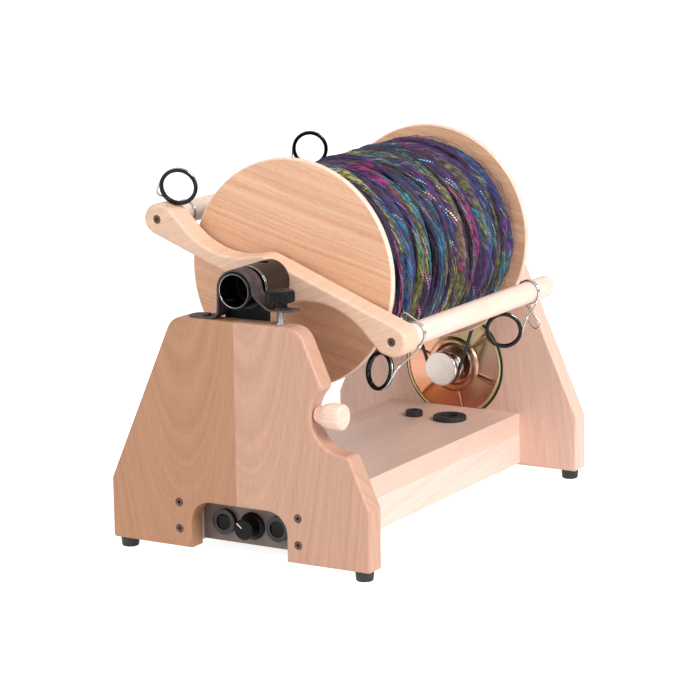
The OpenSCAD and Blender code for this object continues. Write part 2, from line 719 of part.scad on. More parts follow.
module flange(d0) {
    color([0.87, 0.68, 0.5]) difference() {
        ycyl(0, axis_z, d0, d0 + flange_t, flange_d / 2);
        ycyl(0, axis_z, d0 - 1, d0 + flange_t + 1, 14);
    }
}
module front_flange() { flange(flange_front); }
module rear_flange() { flange(rear_flange_front); }
module bobbin_tube() {
    color("tan") difference() {
        ycyl(0, axis_z, bobbin_front, rear_flange_front, 30);
        ycyl(0, axis_z, bobbin_front - 1, rear_flange_front + 1, 24);
    }
}
module bush(d0, d1, lip0, lip1) {
    color("ivory") difference() {
        union() {
            ycyl(0, axis_z, d0, d1, 14);
            ycyl(0, axis_z, lip0, lip1, 24);
        }
        ycyl(0, axis_z, min(d0, lip0) - 1, max(d1, lip1) + 1, shaft_r + slip);
    }
}
module bobbin_bushes() {
    bush(flange_front - 2, bobbin_front, bobbin_front, bobbin_front + 20);
    bush(rear_flange_front, rear_flange_front + flange_t, rear_flange_front - 20, rear_flange_front);
}
module whorl() {
    bottom = whorl_belt_r - belt_d / 2 - gap;
    rim = whorl_belt_r + 3;
    neck = whorl_front - rear_flange_front - flange_t;
    wide = whorl_back - rear_flange_front - flange_t;
    color([0.12, 0.12, 0.12]) translate([0, at(rear_flange_front + flange_t), axis_z])
        rotate([-90, 0, 0]) difference() {
            rotate_extrude() polygon([[0, 0], [70, 0], [70, neck], [rim, neck], [rim, neck + 4.4],
                [bottom, neck + 6.2], [bottom, neck + 9.8], [rim, neck + 11.6], [rim, wide],
                [0, wide]]);
            translate([0, 0, -1]) cylinder(r = shaft_r + slip, h = wide + 2);
        }
}
module yarn_core() {
    color([0.25, 0.15, 0.4]) difference() {
        ycyl(0, axis_z, bobbin_front, rear_flange_front, yarn_core_r);
        ycyl(0, axis_z, bobbin_front - 1, rear_flange_front + 1, 30);
    }
}

// The outer layer of yarn: one tube that leaves a flange square to it, bends into the
// winding's direction, goes round the core, and meets the other flange in the same way.
wind_r = yarn_core_r + yarn_r + 1.6;
yarn_bend = 7;
lead = 2 * yarn_r + yarn_bend;
wind_front = bobbin_front + lead;
wind_back = rear_flange_front - lead;
wind_pitch = (wind_back - wind_front) / yarn_loops;
loop_rings = 24;
bend_angle = yarn_bend / wind_r * 180 / PI;
function on_drum(a, d) = [wind_r * sin(a), at(d), wind_r * cos(a)];
// A quarter bend from the axial lead into the turn, then the turn itself.
front_lead = [on_drum(-bend_angle, bobbin_front), on_drum(-bend_angle, bobbin_front + 2 * yarn_r),
    for (q = [30, 60]) on_drum(-bend_angle * cos(q), wind_front - yarn_bend * (1 - sin(q)))];
turns = [for (i = [0:yarn_loops * loop_rings])
    on_drum(i * 360 / loop_rings, wind_front + wind_pitch * i / loop_rings)];
back_lead = [for (q = [60, 30]) on_drum(bend_angle * cos(q), wind_back + yarn_bend * (1 - sin(q))),
    on_drum(bend_angle, rear_flange_front - 2 * yarn_r), on_drum(bend_angle, rear_flange_front)];
yarn_path = concat(front_lead, turns, back_lead);
yarn_n = len(yarn_path);
function yarn_way(i) = i == 0 || i == yarn_n - 1 ? [0, 1, 0]
    : unit(yarn_path[i + 1] - yarn_path[i - 1]);
// Each ring of six points stands square to the path, one point facing outwards.
function yarn_ring(i) =
    let (p = yarn_path[i], w = yarn_way(i), out = unit([p[0], 0, p[2]]))
    let (side = unit(cross(w, out)), up = cross(side, w))
    [for (k = [0:5]) p + [0, 0, axis_z] + yarn_r * (cos(60 * k) * up + sin(60 * k) * side)];
module yarn_winding() {
    points = [for (i = [0:yarn_n - 1]) each yarn_ring(i)];
    walls = [for (i = [0:yarn_n - 2], k = [0:5]) let (a = 6 * i + k, b = 6 * i + (k + 1) % 6)
        each [[a, a + 6, b], [b, a + 6, b + 6]]];
    first = [for (k = [1:4]) [0, k, k + 1]];
    last = [for (k = [1:4]) 6 * (yarn_n - 1) * [1, 1, 1] + [0, k + 1, k]];
    color([0.2, 0.3, 0.55]) polyhedron(points = points, faces = concat(first, walls, last));
}
// Least gap between parts of the winding that are more than half a loop apart.
least = min([for (i = [0:3:yarn_n - 1], j = [i + 12:1:yarn_n - 1]) norm(yarn_path[i] - yarn_path[j])]);
echo(least_gap_of_yarn_to_itself = least - 2 * yarn_r);

// ---- Loose pieces ----

// The orifice reducers are stored in two holes of the top board.
module reducer(r, flange_r, bore_r, flange_h) {
    color([0.06, 0.06, 0.06]) translate([r[0], at(r[1]), box_top]) difference() {
        rotate_extrude() polygon([[0, -plug_depth + 0.5], [r[2] - 0.6, -plug_depth + 0.5],
            [r[2], -plug_depth + 1.1], [r[2], 0], [flange_r, 0], [flange_r, flange_h - 1],
            [flange_r - 1, flange_h], [0, flange_h]]);
        translate([0, 0, -20]) cylinder(r = bore_r, h = 40);
    }
}
module small_reducer() { reducer(small, 10.5, 5, 7); }
module large_reducer() { reducer(large, 20, 10, 5.5); }
// The threading hook: a turned handle in the scallop, and a wire stored in the upright.
handle_x = scallop_x - sqrt(scallop_r ^ 2 - handle_end_r ^ 2) + gap;
module hook_handle() {
    color("wheat") translate([handle_x, at(hook_depth), hook_z]) rotate([0, 90, 0]) difference() {
        rotate_extrude() polygon([[0, 0], [handle_end_r, 0], [9.2, 3], [10.6, 7], [13.2, 12], [14.4, 18],
            [handle_r, 28], [13.6, 32], [11.5, 33.4], [0, 33.4]]);
        translate([0, 0, -1]) cylinder(r = 1.5, h = 19);
    }
}
module hook_wire() {
    color("silver") {
        xcyl(-20, handle_x + 18, hook_depth, hook_z, 1.5);
        translate([-20, at(hook_depth), hook_z + 1.5]) rotate([90, 0, 0])
            rotate([0, 0, 90]) rotate_extrude(angle = 180)
                translate([1.5, 0]) circle(r = 1.2, $fn = 20);
    }
}

front_upright();
rear_upright();
top_board();
left_rail();
side_boards();
base_floor();
control_panel();
frame_screws();
rubber_feet();
foot_screws();
front_bearing_block();
front_bearing_liner();
rear_bearing_block();
rear_bearing();
block_screws();
brake_strap();
strap_screw();
tension_stud();
motor_plate();
motor_body();
motor_screws();
drive_belt();
power_inlet();
controller_board();
switch_housings();
speed_pot();
flyer_arm();
orifice_tube();
orifice_hub();
tube_collar();
flyer_shaft();
left_dowel();
right_dowel();
dowel_screws();
front_flange();
rear_flange();
bobbin_tube();
bobbin_bushes();
whorl();
yarn_core();
yarn_winding();
motor_pulley();
motor_shaft();
guide_ring(0);  // guide_ring_1
guide_clip(0);  // guide_clip_1
guide_ring(1);  // guide_ring_2
guide_clip(1);  // guide_clip_2
guide_ring(2);  // guide_ring_3
guide_clip(2);  // guide_clip_3
guide_ring(3);  // guide_ring_4
guide_clip(3);  // guide_clip_4
power_rocker();
direction_rocker();
speed_knob();
tension_washer();
tension_knob();
hook_handle();
hook_wire();
small_reducer();
large_reducer();
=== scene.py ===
# Electric yarn spinner: a beech frame, a braked flyer with sliding ring guides, and a
# big bobbin of art yarn. The sections follow the order in which it is put together.
# Metres, with X to the right, Y from the orifice to the back, and Z up.
import json
import math
from contextlib import contextmanager

import bpy
import numpy as np
from mathutils import Matrix, Vector

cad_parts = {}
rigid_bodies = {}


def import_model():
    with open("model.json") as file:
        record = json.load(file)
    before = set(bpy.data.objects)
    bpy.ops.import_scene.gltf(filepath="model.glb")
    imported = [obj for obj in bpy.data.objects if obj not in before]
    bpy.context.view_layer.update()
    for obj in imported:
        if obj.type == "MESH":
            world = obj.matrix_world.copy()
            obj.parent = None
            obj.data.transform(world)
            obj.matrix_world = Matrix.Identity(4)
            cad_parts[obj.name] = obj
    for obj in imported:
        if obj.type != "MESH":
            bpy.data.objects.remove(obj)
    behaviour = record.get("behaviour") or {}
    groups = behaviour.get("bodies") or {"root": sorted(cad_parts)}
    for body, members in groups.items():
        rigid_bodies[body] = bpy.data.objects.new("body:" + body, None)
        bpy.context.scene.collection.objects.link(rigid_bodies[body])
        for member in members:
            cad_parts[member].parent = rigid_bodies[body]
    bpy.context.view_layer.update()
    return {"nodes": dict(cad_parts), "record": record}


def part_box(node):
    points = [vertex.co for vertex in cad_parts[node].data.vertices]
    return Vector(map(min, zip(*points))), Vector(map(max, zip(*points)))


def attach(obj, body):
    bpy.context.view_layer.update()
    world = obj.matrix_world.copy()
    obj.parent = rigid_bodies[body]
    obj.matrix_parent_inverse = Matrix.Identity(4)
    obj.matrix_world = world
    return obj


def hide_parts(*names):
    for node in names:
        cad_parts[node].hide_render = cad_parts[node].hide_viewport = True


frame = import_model()
MM = 0.001

# ---- Camera ----
# A long lens, a little above the axis and to the right of the orifice, as solved from
# the photograph's straight edges and circles. The camera is rolled by less than a degree.
azimuth, elevation, roll = math.radians(30.494), math.radians(11.742), math.radians(-0.79)
distance = 3.16205
target = Vector((0.03343, -0.07884, 0.20676))
focal_px, picture_px, sensor_mm = 2842.57, 700, 36

back = Vector((math.sin(azimuth) * math.cos(elevation),
               -math.cos(azimuth) * math.cos(elevation), math.sin(elevation)))
level = (-back).cross(Vector((0, 0, 1))).normalized()
upright = level.cross(-back)
right = level * math.cos(roll) + upright * math.sin(roll)
up = upright * math.cos(roll) - level * math.sin(roll)


def placed(name, data):
    """A new object that shows this data, in the scene."""
    made = bpy.data.objects.new(name, data)
    bpy.context.scene.collection.objects.link(made)
    return made


camera_data = bpy.data.cameras.new("camera")
camera_data.lens = focal_px / picture_px * sensor_mm
camera_data.sensor_width = sensor_mm
camera_data.clip_end = 40
camera = placed("camera", camera_data)
camera.matrix_world = Matrix((right, up, back)).transposed().to_4x4()
camera.location = target + distance * back
bpy.context.scene.camera = camera


# ---- Studio: floor, world and lamps ----
# A white sweep with soft light. The camera, and mirrors in the object, see plain white,
# while the object itself is lit at a level that shows each colour as it is written.
def colour(code):
    """An sRGB hex value as linear red, green, blue and alpha."""
    parts = [int(code[i:i + 2], 16) / 255 for i in (0, 2, 4)]
    return [p / 12.92 if p <= 0.04045 else ((p + 0.055) / 1.055) ** 2.4 for p in parts] + [1]


def add(tree, kind, inputs=None, take=0, **settings):
    """Adds one node, and gives back the output to take from it, or the node if it has none.
    A value in inputs is set on its socket, and a socket is linked."""
    made = tree.nodes.new("ShaderNode" + kind)
    for name, value in settings.items():
        setattr(made, name, value)
    for socket, value in (inputs or {}).items():
        if isinstance(value, bpy.types.NodeSocket):
            tree.links.new(value, made.inputs[socket])
        else:
            made.inputs[socket].default_value = value
    return made.outputs[take] if made.outputs else made


def material(name):
    """An empty material: its node tree, and its output node."""
    made = bpy.data.materials.new(name)
    made.use_nodes = True
    made.node_tree.nodes.clear()
    return made, made.node_tree, add(made.node_tree, "OutputMaterial")


def seen_directly(tree):
    """1 for what the camera, a mirror or glass sees, and 0 for the light on the object."""
    ray = add(tree, "LightPath").node.outputs
    either = add(tree, "Math", {0: ray["Is Camera Ray"], 1: ray["Is Glossy Ray"]}, operation="MAXIMUM")
    return add(tree, "Math", {0: either, 1: ray["Is Transmission Ray"]}, operation="MAXIMUM")


world = bpy.data.worlds.new("white room")
world.use_nodes = True
world.node_tree.nodes.clear()
soft = add(world.node_tree, "Background", {"Color": colour("ffffff"), "Strength": 0.46})
white = add(world.node_tree, "Background", {"Color": colour("ffffff"), "Strength": 1.0})
room = add(world.node_tree, "MixShader", {0: seen_directly(world.node_tree), 1: soft, 2: white})
add(world.node_tree, "OutputWorld", {"Surface": room})
bpy.context.scene.world = world
bpy.context.scene.view_settings.view_transform = "Standard"

sweep, tree, out = material("white paper sweep")
paper = add(tree, "BsdfDiffuse", {"Color": colour("f0f0f0")})
glow = add(tree, "Emission", {"Color": colour("ffffff"), "Strength": 0.85})
both = add(tree, "AddShader", {0: paper, 1: glow})
shown = add(tree, "MixShader", {0: seen_directly(tree), 1: paper, 2: both})
tree.links.new(shown, out.inputs["Surface"])


def only(*objects):
    """Leaves just these objects selected, with the first one active, in object mode."""
    if bpy.context.object and bpy.context.object.mode != "OBJECT":
        bpy.ops.object.mode_set(mode="OBJECT")
    bpy.ops.object.select_all(action="DESELECT")
    for each in objects:
        each.select_set(True)
    bpy.context.view_layer.objects.active = objects[0] if objects else None


only()
bpy.ops.mesh.primitive_plane_add(size=14, location=(0, 3, 0))
floor = bpy.context.object
floor.name = "paper_floor"
floor.data.materials.append(sweep)

lamps = {"key": ((3.0, -0.9, 2.3), 1.8, 136), "front": ((-0.6, -3.2, 1.5), 2.2, 37)}
for name, (place, size, watts) in lamps.items():
    lamp_data = bpy.data.lights.new(name, "AREA")
    lamp_data.size = size
    lamp_data.energy = watts
    lamp = placed(name, lamp_data)
    lamp.location = place
    lamp.rotation_euler = (Vector((0, 0, 0.2)) - lamp.location).to_track_quat("-Z", "Y").to_euler()


# ---- Uprights ----
# Two boards of oiled beech, each glued from two wide staves, sawn to shape, with the
# edges rounded over by a router. The staves differ in tone and in how they were sawn.
def beech(name, pale, dark, along="Z", lean=0, staves=(1.0, 0.0), pith=(0.1, 0.16), shift=0,
          ring=0.0045, fleck=0.07, figure=0.03):
    """Oiled wood: growth rings round a leaning pith, in staves (width, joint), and fibres.
    pale and dark are its two tones, for the first stave and for the next one. lean turns
    the grain about Y, and figure is the strength of the broad bands."""
    made, tree, out = material(name)
    place = add(tree, "VectorRotate", {"Vector": add(tree, "TexCoord", take="Object"),
                                       "Angle": lean}, rotation_type="Y_AXIS")
    turns = {"Z": (0, 0, 0), "Y": (math.pi / 2, 0, 0), "X": (0, math.pi / 2, 0)}
    grain = add(tree, "Mapping", {"Vector": place, "Rotation": turns[along],
                                  "Location": (shift, 0, 0)})
    axes = add(tree, "SeparateXYZ", {0: grain}).node.outputs
    width, joint = staves
    count = add(tree, "Math", {0: axes[0], 1: -joint}, operation="ADD")
    count = add(tree, "Math", {0: count, 1: width}, operation="DIVIDE")
    stave = add(tree, "Math", {0: count}, operation="FLOOR")
    chance = add(tree, "TexWhiteNoise", {"W": stave}, noise_dimensions="1D")
    # The pith's place across the stave, and how it leans away along the stave
    aside = add(tree, "MapRange", {0: chance, 3: -pith[0], 4: pith[0]})
    from_pith = add(tree, "Math", {0: axes[0], 1: aside}, operation="SUBTRACT")
    sway = add(tree, "TexNoise", {"Vector": grain, "Scale": 5, "Detail": 1})
    swing = add(tree, "MapRange", {0: sway, 3: -0.005, 4: 0.005})
    from_pith = add(tree, "Math", {0: from_pith, 1: swing}, operation="ADD")
    rise = add(tree, "Math", {0: axes[2], 1: 0.16, 2: pith[1]}, operation="MULTIPLY_ADD")
    deep = add(tree, "Math", {0: rise, 1: axes[1]}, operation="ADD")
    spot = add(tree, "CombineXYZ", {0: from_pith, 1: deep})
    reach = add(tree, "VectorMath", {0: spot}, take="Value", operation="LENGTH")
    years = add(tree, "Math", {0: reach, 1: 1 / ring, 2: shift * 40},
                operation="MULTIPLY_ADD")
    rings = add(tree, "TexNoise", {"W": years, "Scale": 1, "Detail": 3, "Roughness": 0.62},
                noise_dimensions="1D")
    line = add(tree, "ValToRGB", {0: rings})
    low_end, high_end = line.node.color_ramp.elements
    low_end.position, high_end.position = 0.30, 0.66
    # Fibres: streaks one millimetre wide and some 40 mm long, and darker broad bands
    fibre = add(tree, "Mapping", {"Vector": grain, "Scale": (700, 700, 18)})
    fibres = add(tree, "TexNoise", {"Vector": fibre, "Scale": 1, "Detail": 3})
    broad = add(tree, "Mapping", {"Vector": grain, "Scale": (30, 30, 2)})
    bands = add(tree, "TexNoise", {"Vector": broad, "Scale": 1, "Detail": 2})
    first = add(tree, "Mix", {0: line, 6: colour(dark[0]), 7: colour(pale[0])},
                take=2, data_type="RGBA")
    second = add(tree, "Mix", {0: line, 6: colour(dark[1]), 7: colour(pale[1])},
                 take=2, data_type="RGBA")
    side = add(tree, "Math", {0: count, 1: 0}, operation="GREATER_THAN")
    tone = add(tree, "Mix", {0: side, 6: first, 7: second},
               take=2, data_type="RGBA")
    shade = add(tree, "MapRange", {0: bands, 1: 0.3, 2: 0.7, 3: 1 - figure, 4: 1 + figure})
    thin = add(tree, "MapRange", {0: fibres, 1: 0.3, 2: 0.7, 3: 0.93, 4: 1.05})
    both = add(tree, "Math", {0: shade, 1: thin}, operation="MULTIPLY")
    # Flecks: the ends of the wood's rays, thin and 6 mm long
    rays = add(tree, "Mapping", {"Vector": grain, "Scale": (1100, 1100, 130)})
    rays = add(tree, "TexNoise", {"Vector": rays, "Scale": 1, "Detail": 1})
    ray = add(tree, "MapRange", {0: rays, 1: 0.52, 2: 0.66, 3: 1.0, 4: 1 - fleck})
    both = add(tree, "Math", {0: both, 1: ray}, operation="MULTIPLY")
    toned = add(tree, "VectorMath", {0: tone, 3: both}, operation="SCALE")
    bump = add(tree, "Bump", {"Height": fibres, "Strength": 0.12, "Distance": 0.0003})
    rough = add(tree, "MapRange", {0: fibres, 3: 0.42, 4: 0.56})
    skin = add(tree, "BsdfPrincipled", {"Base Color": toned, "Normal": bump,
                                        "Roughness": rough, "IOR": 1.45,
                                        "Coat Weight": 0.2, "Coat Roughness": 0.4})
    tree.links.new(skin, out.inputs["Surface"])
    return made


weld, flat_angle = 0.02 * MM, math.radians(0.4)
bodies = frame["record"]["behaviour"]["bodies"]
body_of = {node: body for body, nodes in bodies.items() for node in nodes}


def settle(piece):
    """Puts a piece's place, turn and size into its mesh, so that its object is at the origin."""
    only(piece)
    bpy.ops.object.transform_apply(location=True, rotation=True, scale=True)


def fit(piece, finish, *nodes, smooth=35):
    """Gives a finished piece its material, and puts it in the place of these CAD nodes."""
    settle(piece)
    bpy.ops.object.shade_smooth_by_angle(angle=math.radians(smooth))
    if smooth < 180:
        # A bevel then leaves the shading of the flat face beside it flat.
        modify(piece, "WEIGHTED_NORMAL", keep_sharp=True)
    piece.data.materials.clear()
    piece.data.materials.append(finish)
    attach(piece, body_of[nodes[0]])
    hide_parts(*nodes)


def paint(finish, *nodes):
    """Gives CAD nodes whose shape is right a better material."""
    for name in nodes:
        piece = frame["nodes"][name]
        if not piece.material_slots:
            piece.data.materials.append(finish)
        for place in piece.material_slots:
            place.material = finish


@contextmanager
def editing(piece, kind=None, test=None):
    """Edit mode, with all of the piece selected. With a kind, FACE, EDGE or VERT, and a
    test, only the elements that pass are selected."""
    only(piece)
    bpy.ops.object.mode_set(mode="EDIT")
    bpy.ops.mesh.select_all(action="SELECT")
    if kind:
        bpy.ops.mesh.select_mode(type=kind)
        bpy.ops.mesh.select_all(action="DESELECT")
        bpy.ops.object.mode_set(mode="OBJECT")
        mesh = piece.data
        for element in {"FACE": mesh.polygons, "EDGE": mesh.edges, "VERT": mesh.vertices}[kind]:
            element.select = test(element)
        bpy.ops.object.mode_set(mode="EDIT")
    yield
    bpy.ops.object.mode_set(mode="OBJECT")


def merged_copy(node, name, merge_flat=True):
    """A copy of a CAD node with its loose triangles merged, and its flat faces joined up."""
    piece = placed(name, frame["nodes"][node].data.copy())
    with editing(piece):
        bpy.ops.mesh.remove_doubles(threshold=weld)
        if merge_flat:
            bpy.ops.mesh.dissolve_limited(angle_limit=flat_angle)
    return piece


def modify(piece, kind, **settings):
    """Adds a modifier and applies it."""
    only(piece)
    made = piece.modifiers.new(kind, kind)
    for name, value in settings.items():
        setattr(made, name, value)
    bpy.ops.object.modifier_apply(modifier=made.name)


def cutter(name, place, way, radius, length):
    """A round drill, its middle at a place, along a direction."""
    only()
    turn = Vector(way).to_track_quat("Z", "Y").to_euler()
    bpy.ops.mesh.primitive_cylinder_add(vertices=48, radius=radius, depth=length, location=place,
                                        rotation=turn)
    bpy.context.object.name = name
    return bpy.context.object


def drill(piece, *cuts):
    """Takes each drill's shape out of a piece, and removes the drill."""
    for cut in cuts:
        modify(piece, "BOOLEAN", object=cut, solver="EXACT")
        bpy.data.objects.remove(cut)


def sawn_board(node, name, edge, steps=4):
    """A board with a CAD board's outline and thickness along Y, sawn out and rounded over."""
    low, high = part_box(node)
    piece = merged_copy(node, name)
    with editing(piece, "FACE", lambda face: face.normal.y < -0.99
                 and abs(face.center.y - low.y) < 0.1 * MM):
        bpy.ops.mesh.region_to_loop()
        bpy.ops.mesh.select_all(action="INVERT")
        bpy.ops.mesh.delete(type="EDGE_FACE")
    # Only the outer line is kept: it is the one that holds the leftmost point.
    points = piece.data.vertices
    edged = {i for line in piece.data.edges for i in line.vertices}
    first = min((i for i in sorted(edged) if abs(points[i].co.y - low.y) < 0.1 * MM),
                key=lambda i: points[i].co.x)
    with editing(piece, "VERT", lambda point: point.index == first):
        bpy.ops.mesh.select_linked()
        bpy.ops.mesh.select_all(action="INVERT")
        bpy.ops.mesh.delete(type="VERT")
        bpy.ops.mesh.select_all(action="SELECT")
        bpy.ops.mesh.dissolve_limited(angle_limit=flat_angle)
        bpy.ops.mesh.select_all(action="SELECT")
        bpy.ops.mesh.edge_face_add()
        bpy.ops.mesh.extrude_region_move(TRANSFORM_OT_translate={"value": (0, high.y - low.y, 0)})
        bpy.ops.mesh.select_all(action="SELECT")
        bpy.ops.mesh.normals_make_consistent(inside=False)
    with editing(piece, "EDGE", lambda line: abs(points[line.vertices[0]].co.y
                                                 - points[line.vertices[1]].co.y) < 0.1 * MM):
        bpy.ops.mesh.bevel(offset=edge, segments=steps, affect="EDGES", clamp_overlap=False)
    return piece


def middles(node, near=0.012):
    """The middle of each separate solid in a CAD node of small like pieces."""
    groups = []
    for v in frame["nodes"][node].data.vertices:
        home = next((g for g in groups if math.hypot(v.co.x - g[0].x, v.co.z - g[0].z) < near
                     and abs(v.co.y - g[0].y) < 0.08), None)
        if home:
            home.append(v.co)
        else:
            groups.append([v.co])
    return [sum((Vector(c) for c in g), Vector()) / len(g) for g in groups]


front_beech = beech("oiled beech, front board", ("b48463", "c69a82"), ("aa7a59", "bd9078"),
                    staves=(1.0, -0.001))
rear_beech = beech("oiled beech, rear board", ("e6bfab", "e8c2b0"), ("dcb29d", "deb6a2"),
                   staves=(1.0, 0.04), shift=0.3)
head_bore = 4.9 * MM
head_depth = 6 * MM
for node, finish in (("front_upright", front_beech), ("rear_upright", rear_beech)):
    board = sawn_board(node, node + "_board", 3 * MM)
    low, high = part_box(node)
    outer = low.y if node == "front_upright" else high.y
    heads = [spot for spot in middles("frame_screws") if abs(spot.y - outer) < 0.1]
    if node == "rear_upright":
        # The motor plate's screws go in from the back, and the power inlet sits in a hole.
        heads += [spot for spot in middles("motor_screws") if spot.y > low.y + 6 * MM]
        inlet_low, inlet_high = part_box("power_inlet")
        middle = (inlet_low + inlet_high) / 2
        drill(board, cutter("drill", middle, (0, 1, 0), (inlet_high.x - inlet_low.x) / 2 + 0.1 * MM,
                            60 * MM))
    else:
        # The threading hook's wire is stored in a long hole that opens in the scallop.
        wire_low, wire_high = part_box("hook_wire")
        middle = (wire_low + wire_high) / 2
        drill(board, cutter("drill", middle, (1, 0, 0), 5 * MM, wire_high.x - wire_low.x + 36 * MM))
    drill(board, *[cutter("drill", (spot.x, outer, spot.z), (0, 1, 0), head_bore, head_depth)
                   for spot in heads])
    fit(board, finish, node)

# ---- Base box ----
# The box between the uprights, of the same beech: a wide top board and a narrow rail
# beside it, on two side boards, with a hardboard floor. Their grain runs along the machine.
pale_beech = beech("oiled beech, box", ("f2d4c6", "f0d2c4"), ("e8c8b8", "e6c6b6"), along="Y",
                   shift=0.11)
top_beech = beech("oiled beech, top board", ("e6c4b3", "e4c1b0"), ("ddb9a6", "dbb7a4"), along="Y",
                  shift=0.53)


def ease(piece, width, steps=2, angle=40):
    """Rounds over a piece's edges that are sharper than an angle."""
    modify(piece, "BEVEL", width=width, segments=steps, limit_method="ANGLE",
           angle_limit=math.radians(angle))


def dress(finish, width, *nodes, steps=2, angle=40):
    """Puts an eased copy, with a better finish, in the place of each of these nodes."""
    for node in nodes:
        piece = merged_copy(node, node + "_eased")
        ease(piece, width, steps, angle)
        fit(piece, finish, node)


def coated(name, code, rough, grain, bump=0.1, mottle=0.12, gloss=0.0, slow=45, shine=0.5):
    """Paint, plastic or rubber: a fine grain in its skin, and slow changes of tone."""
    made, tree, out = material(name)
    place = add(tree, "TexCoord", take="Object")
    fine = add(tree, "TexNoise", {"Vector": place, "Scale": 1 / grain, "Detail": 2})
    cloud = add(tree, "TexNoise", {"Vector": place, "Scale": slow, "Detail": 4})
    tone = add(tree, "MapRange", {0: cloud, 1: 0.3, 2: 0.7, 3: 1 - mottle, 4: 1 + mottle})
    shade = add(tree, "VectorMath", {0: colour(code)[:3], 3: tone}, operation="SCALE")
    worn = add(tree, "MapRange", {0: cloud, 1: 0.3, 2: 0.7, 3: rough - 0.05,
                                  4: rough + 0.07})
    relief = add(tree, "Bump", {"Height": fine, "Strength": bump,
                                "Distance": grain * 0.3})
    skin = add(tree, "BsdfPrincipled", {"Base Color": shade, "Roughness": worn,
                                        "Normal": relief, "Coat Weight": gloss,
                                        "Coat Roughness": 0.06, "Specular IOR Level": shine})
    tree.links.new(skin, out.inputs["Surface"])
    return made


for node, finish in (("top_board", top_beech), ("left_rail", top_beech),
                     ("side_boards", pale_beech)):
    dress(finish, 1.0 * MM, node)
# Hardboard: pressed brown fibre, with a coarse mottle and a dull face
dress(coated("raw hardboard", "7a5a41", 0.8, 1.2 * MM, bump=0.5, mottle=0.2, slow=160), 0.4 * MM,
      "base_floor")

# ---- Control panel ----
# A thin steel plate set back in the arch, in satin taupe paint, with three holes for the
# controls. The paint's fine orange peel breaks up the light a little.
panel_paint = coated("satin taupe paint on steel", "6e6058", 0.42, 0.8 * MM, bump=0.12, mottle=0.08)
dress(panel_paint, 0.3 * MM, "control_panel")


# ---- Screws and feet of the frame ----
# Countersunk socket screws in dark bronzed steel hold the uprights to the box. Moulded
# rubber feet are held under the uprights by zinc plated screws.
def metal(name, code, rough, grain, bump=0.08, turned=None, mottle=0.1):
    """Bare or plated metal. turned is (x, z) of a lathe's axis along Y, for fine rings
    round that axis."""
    made, tree, out = material(name)
    place = add(tree, "TexCoord", take="Object")
    if turned:
        axes = add(tree, "SeparateXYZ", {0: place}).node.outputs
        aside = add(tree, "Math", {0: axes[0], 1: turned[0]}, operation="SUBTRACT")
        above = add(tree, "Math", {0: axes[2], 1: turned[1]}, operation="SUBTRACT")
        spot = add(tree, "CombineXYZ", {0: aside, 1: above})
        reach = add(tree, "VectorMath", {0: spot}, take="Value", operation="LENGTH")
        fine = add(tree, "TexNoise", {"W": reach, "Scale": 1 / grain, "Detail": 2},
                   noise_dimensions="1D")
    else:
        fine = add(tree, "TexNoise", {"Vector": place, "Scale": 1 / grain, "Detail": 3})
    cloud = add(tree, "TexNoise", {"Vector": place, "Scale": 60, "Detail": 4})
    tone = add(tree, "MapRange", {0: cloud, 1: 0.3, 2: 0.7, 3: 1 - mottle, 4: 1 + mottle})
    shade = add(tree, "VectorMath", {0: colour(code)[:3], 3: tone}, operation="SCALE")
    worn = add(tree, "MapRange", {0: fine, 1: 0.3, 2: 0.7, 3: rough - 0.04,
                                  4: rough + 0.06})
    relief = add(tree, "Bump", {"Height": fine, "Strength": bump,
                                "Distance": grain * 0.3})
    skin = add(tree, "BsdfPrincipled", {"Base Color": shade, "Metallic": 1.0,
                                        "Roughness": worn, "Normal": relief})
    tree.links.new(skin, out.inputs["Surface"])
    return made


# Bronzed steel is brown-black with a soft metal sheen. Zinc plate is grey and cloudy.
bronzed = metal("bronzed steel", "5b4740", 0.34, 0.6 * MM)
zinc = metal("zinc plated steel", "b9bbbd", 0.3, 0.5 * MM, mottle=0.16)
dress(bronzed, 0.2 * MM, "frame_screws", "block_screws")
foot_rubber = coated("moulded black rubber", "1b1b1c", 0.62, 0.5 * MM, bump=0.25)
dress(foot_rubber, 0.8 * MM, "rubber_feet", steps=3)
paint(zinc, "foot_screws")

# ---- Bearings ----
# Black moulded blocks stand behind and before the uprights. The front one carries the
# orifice tube in a slippery black liner, and the rear one holds a steel ball bearing.
block_plastic = coated("moulded black plastic", "0d0b0b", 0.5, 0.7 * MM, bump=0.2, shine=0.14)
dress(block_plastic, 0.8 * MM, "front_bearing_block", "rear_bearing_block")
liner_plastic = coated("oiled black acetal", "141212", 0.35, 0.6 * MM, bump=0.05, shine=0.3)
dress(liner_plastic, 0.3 * MM, "front_bearing_liner")
pivot = {joint["name"]: Vector(joint["pos_m"]) for joint in frame["record"]["behaviour"]["joints"]
         if "pos_m" in joint}
flyer_axis, motor_axis = pivot["flyer_spin"], pivot["motor_spin"]
ground_steel = metal("ground bearing steel", "a9abae", 0.22, 0.35 * MM, turned=(0, flyer_axis.z))
dress(ground_steel, 0.3 * MM, "rear_bearing")

# ---- Motor plate ----
# A dish pressed from steel sheet and cut flat where it meets the box: a raised ring round
# the motor's boss, and six sharp ribs with hollow sectors between. Its yellow zinc plating
# shines in pink, orange and olive. A thin black band runs round its edge.
plate_low, plate_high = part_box("motor_plate")
plate_r = plate_high.x
rim_band_w = 1.3 * MM
boss_r = 9 * MM
ribs, first_rib = 6, math.radians(42)
# The dish's height over the board, from its boss to its rim, in millimetres
dish_r = [9, 20, 23, 25, 27, 30, 32, 34, 60, 61.5, 63, 63.8, 64.2, 70]
dish_h = [3.0, 3.0, 3.1, 4.1, 4.9, 4.9, 4.1, 2.1, 2.1, 2.9, 3.0, 2.6, 0.9, 0.9]


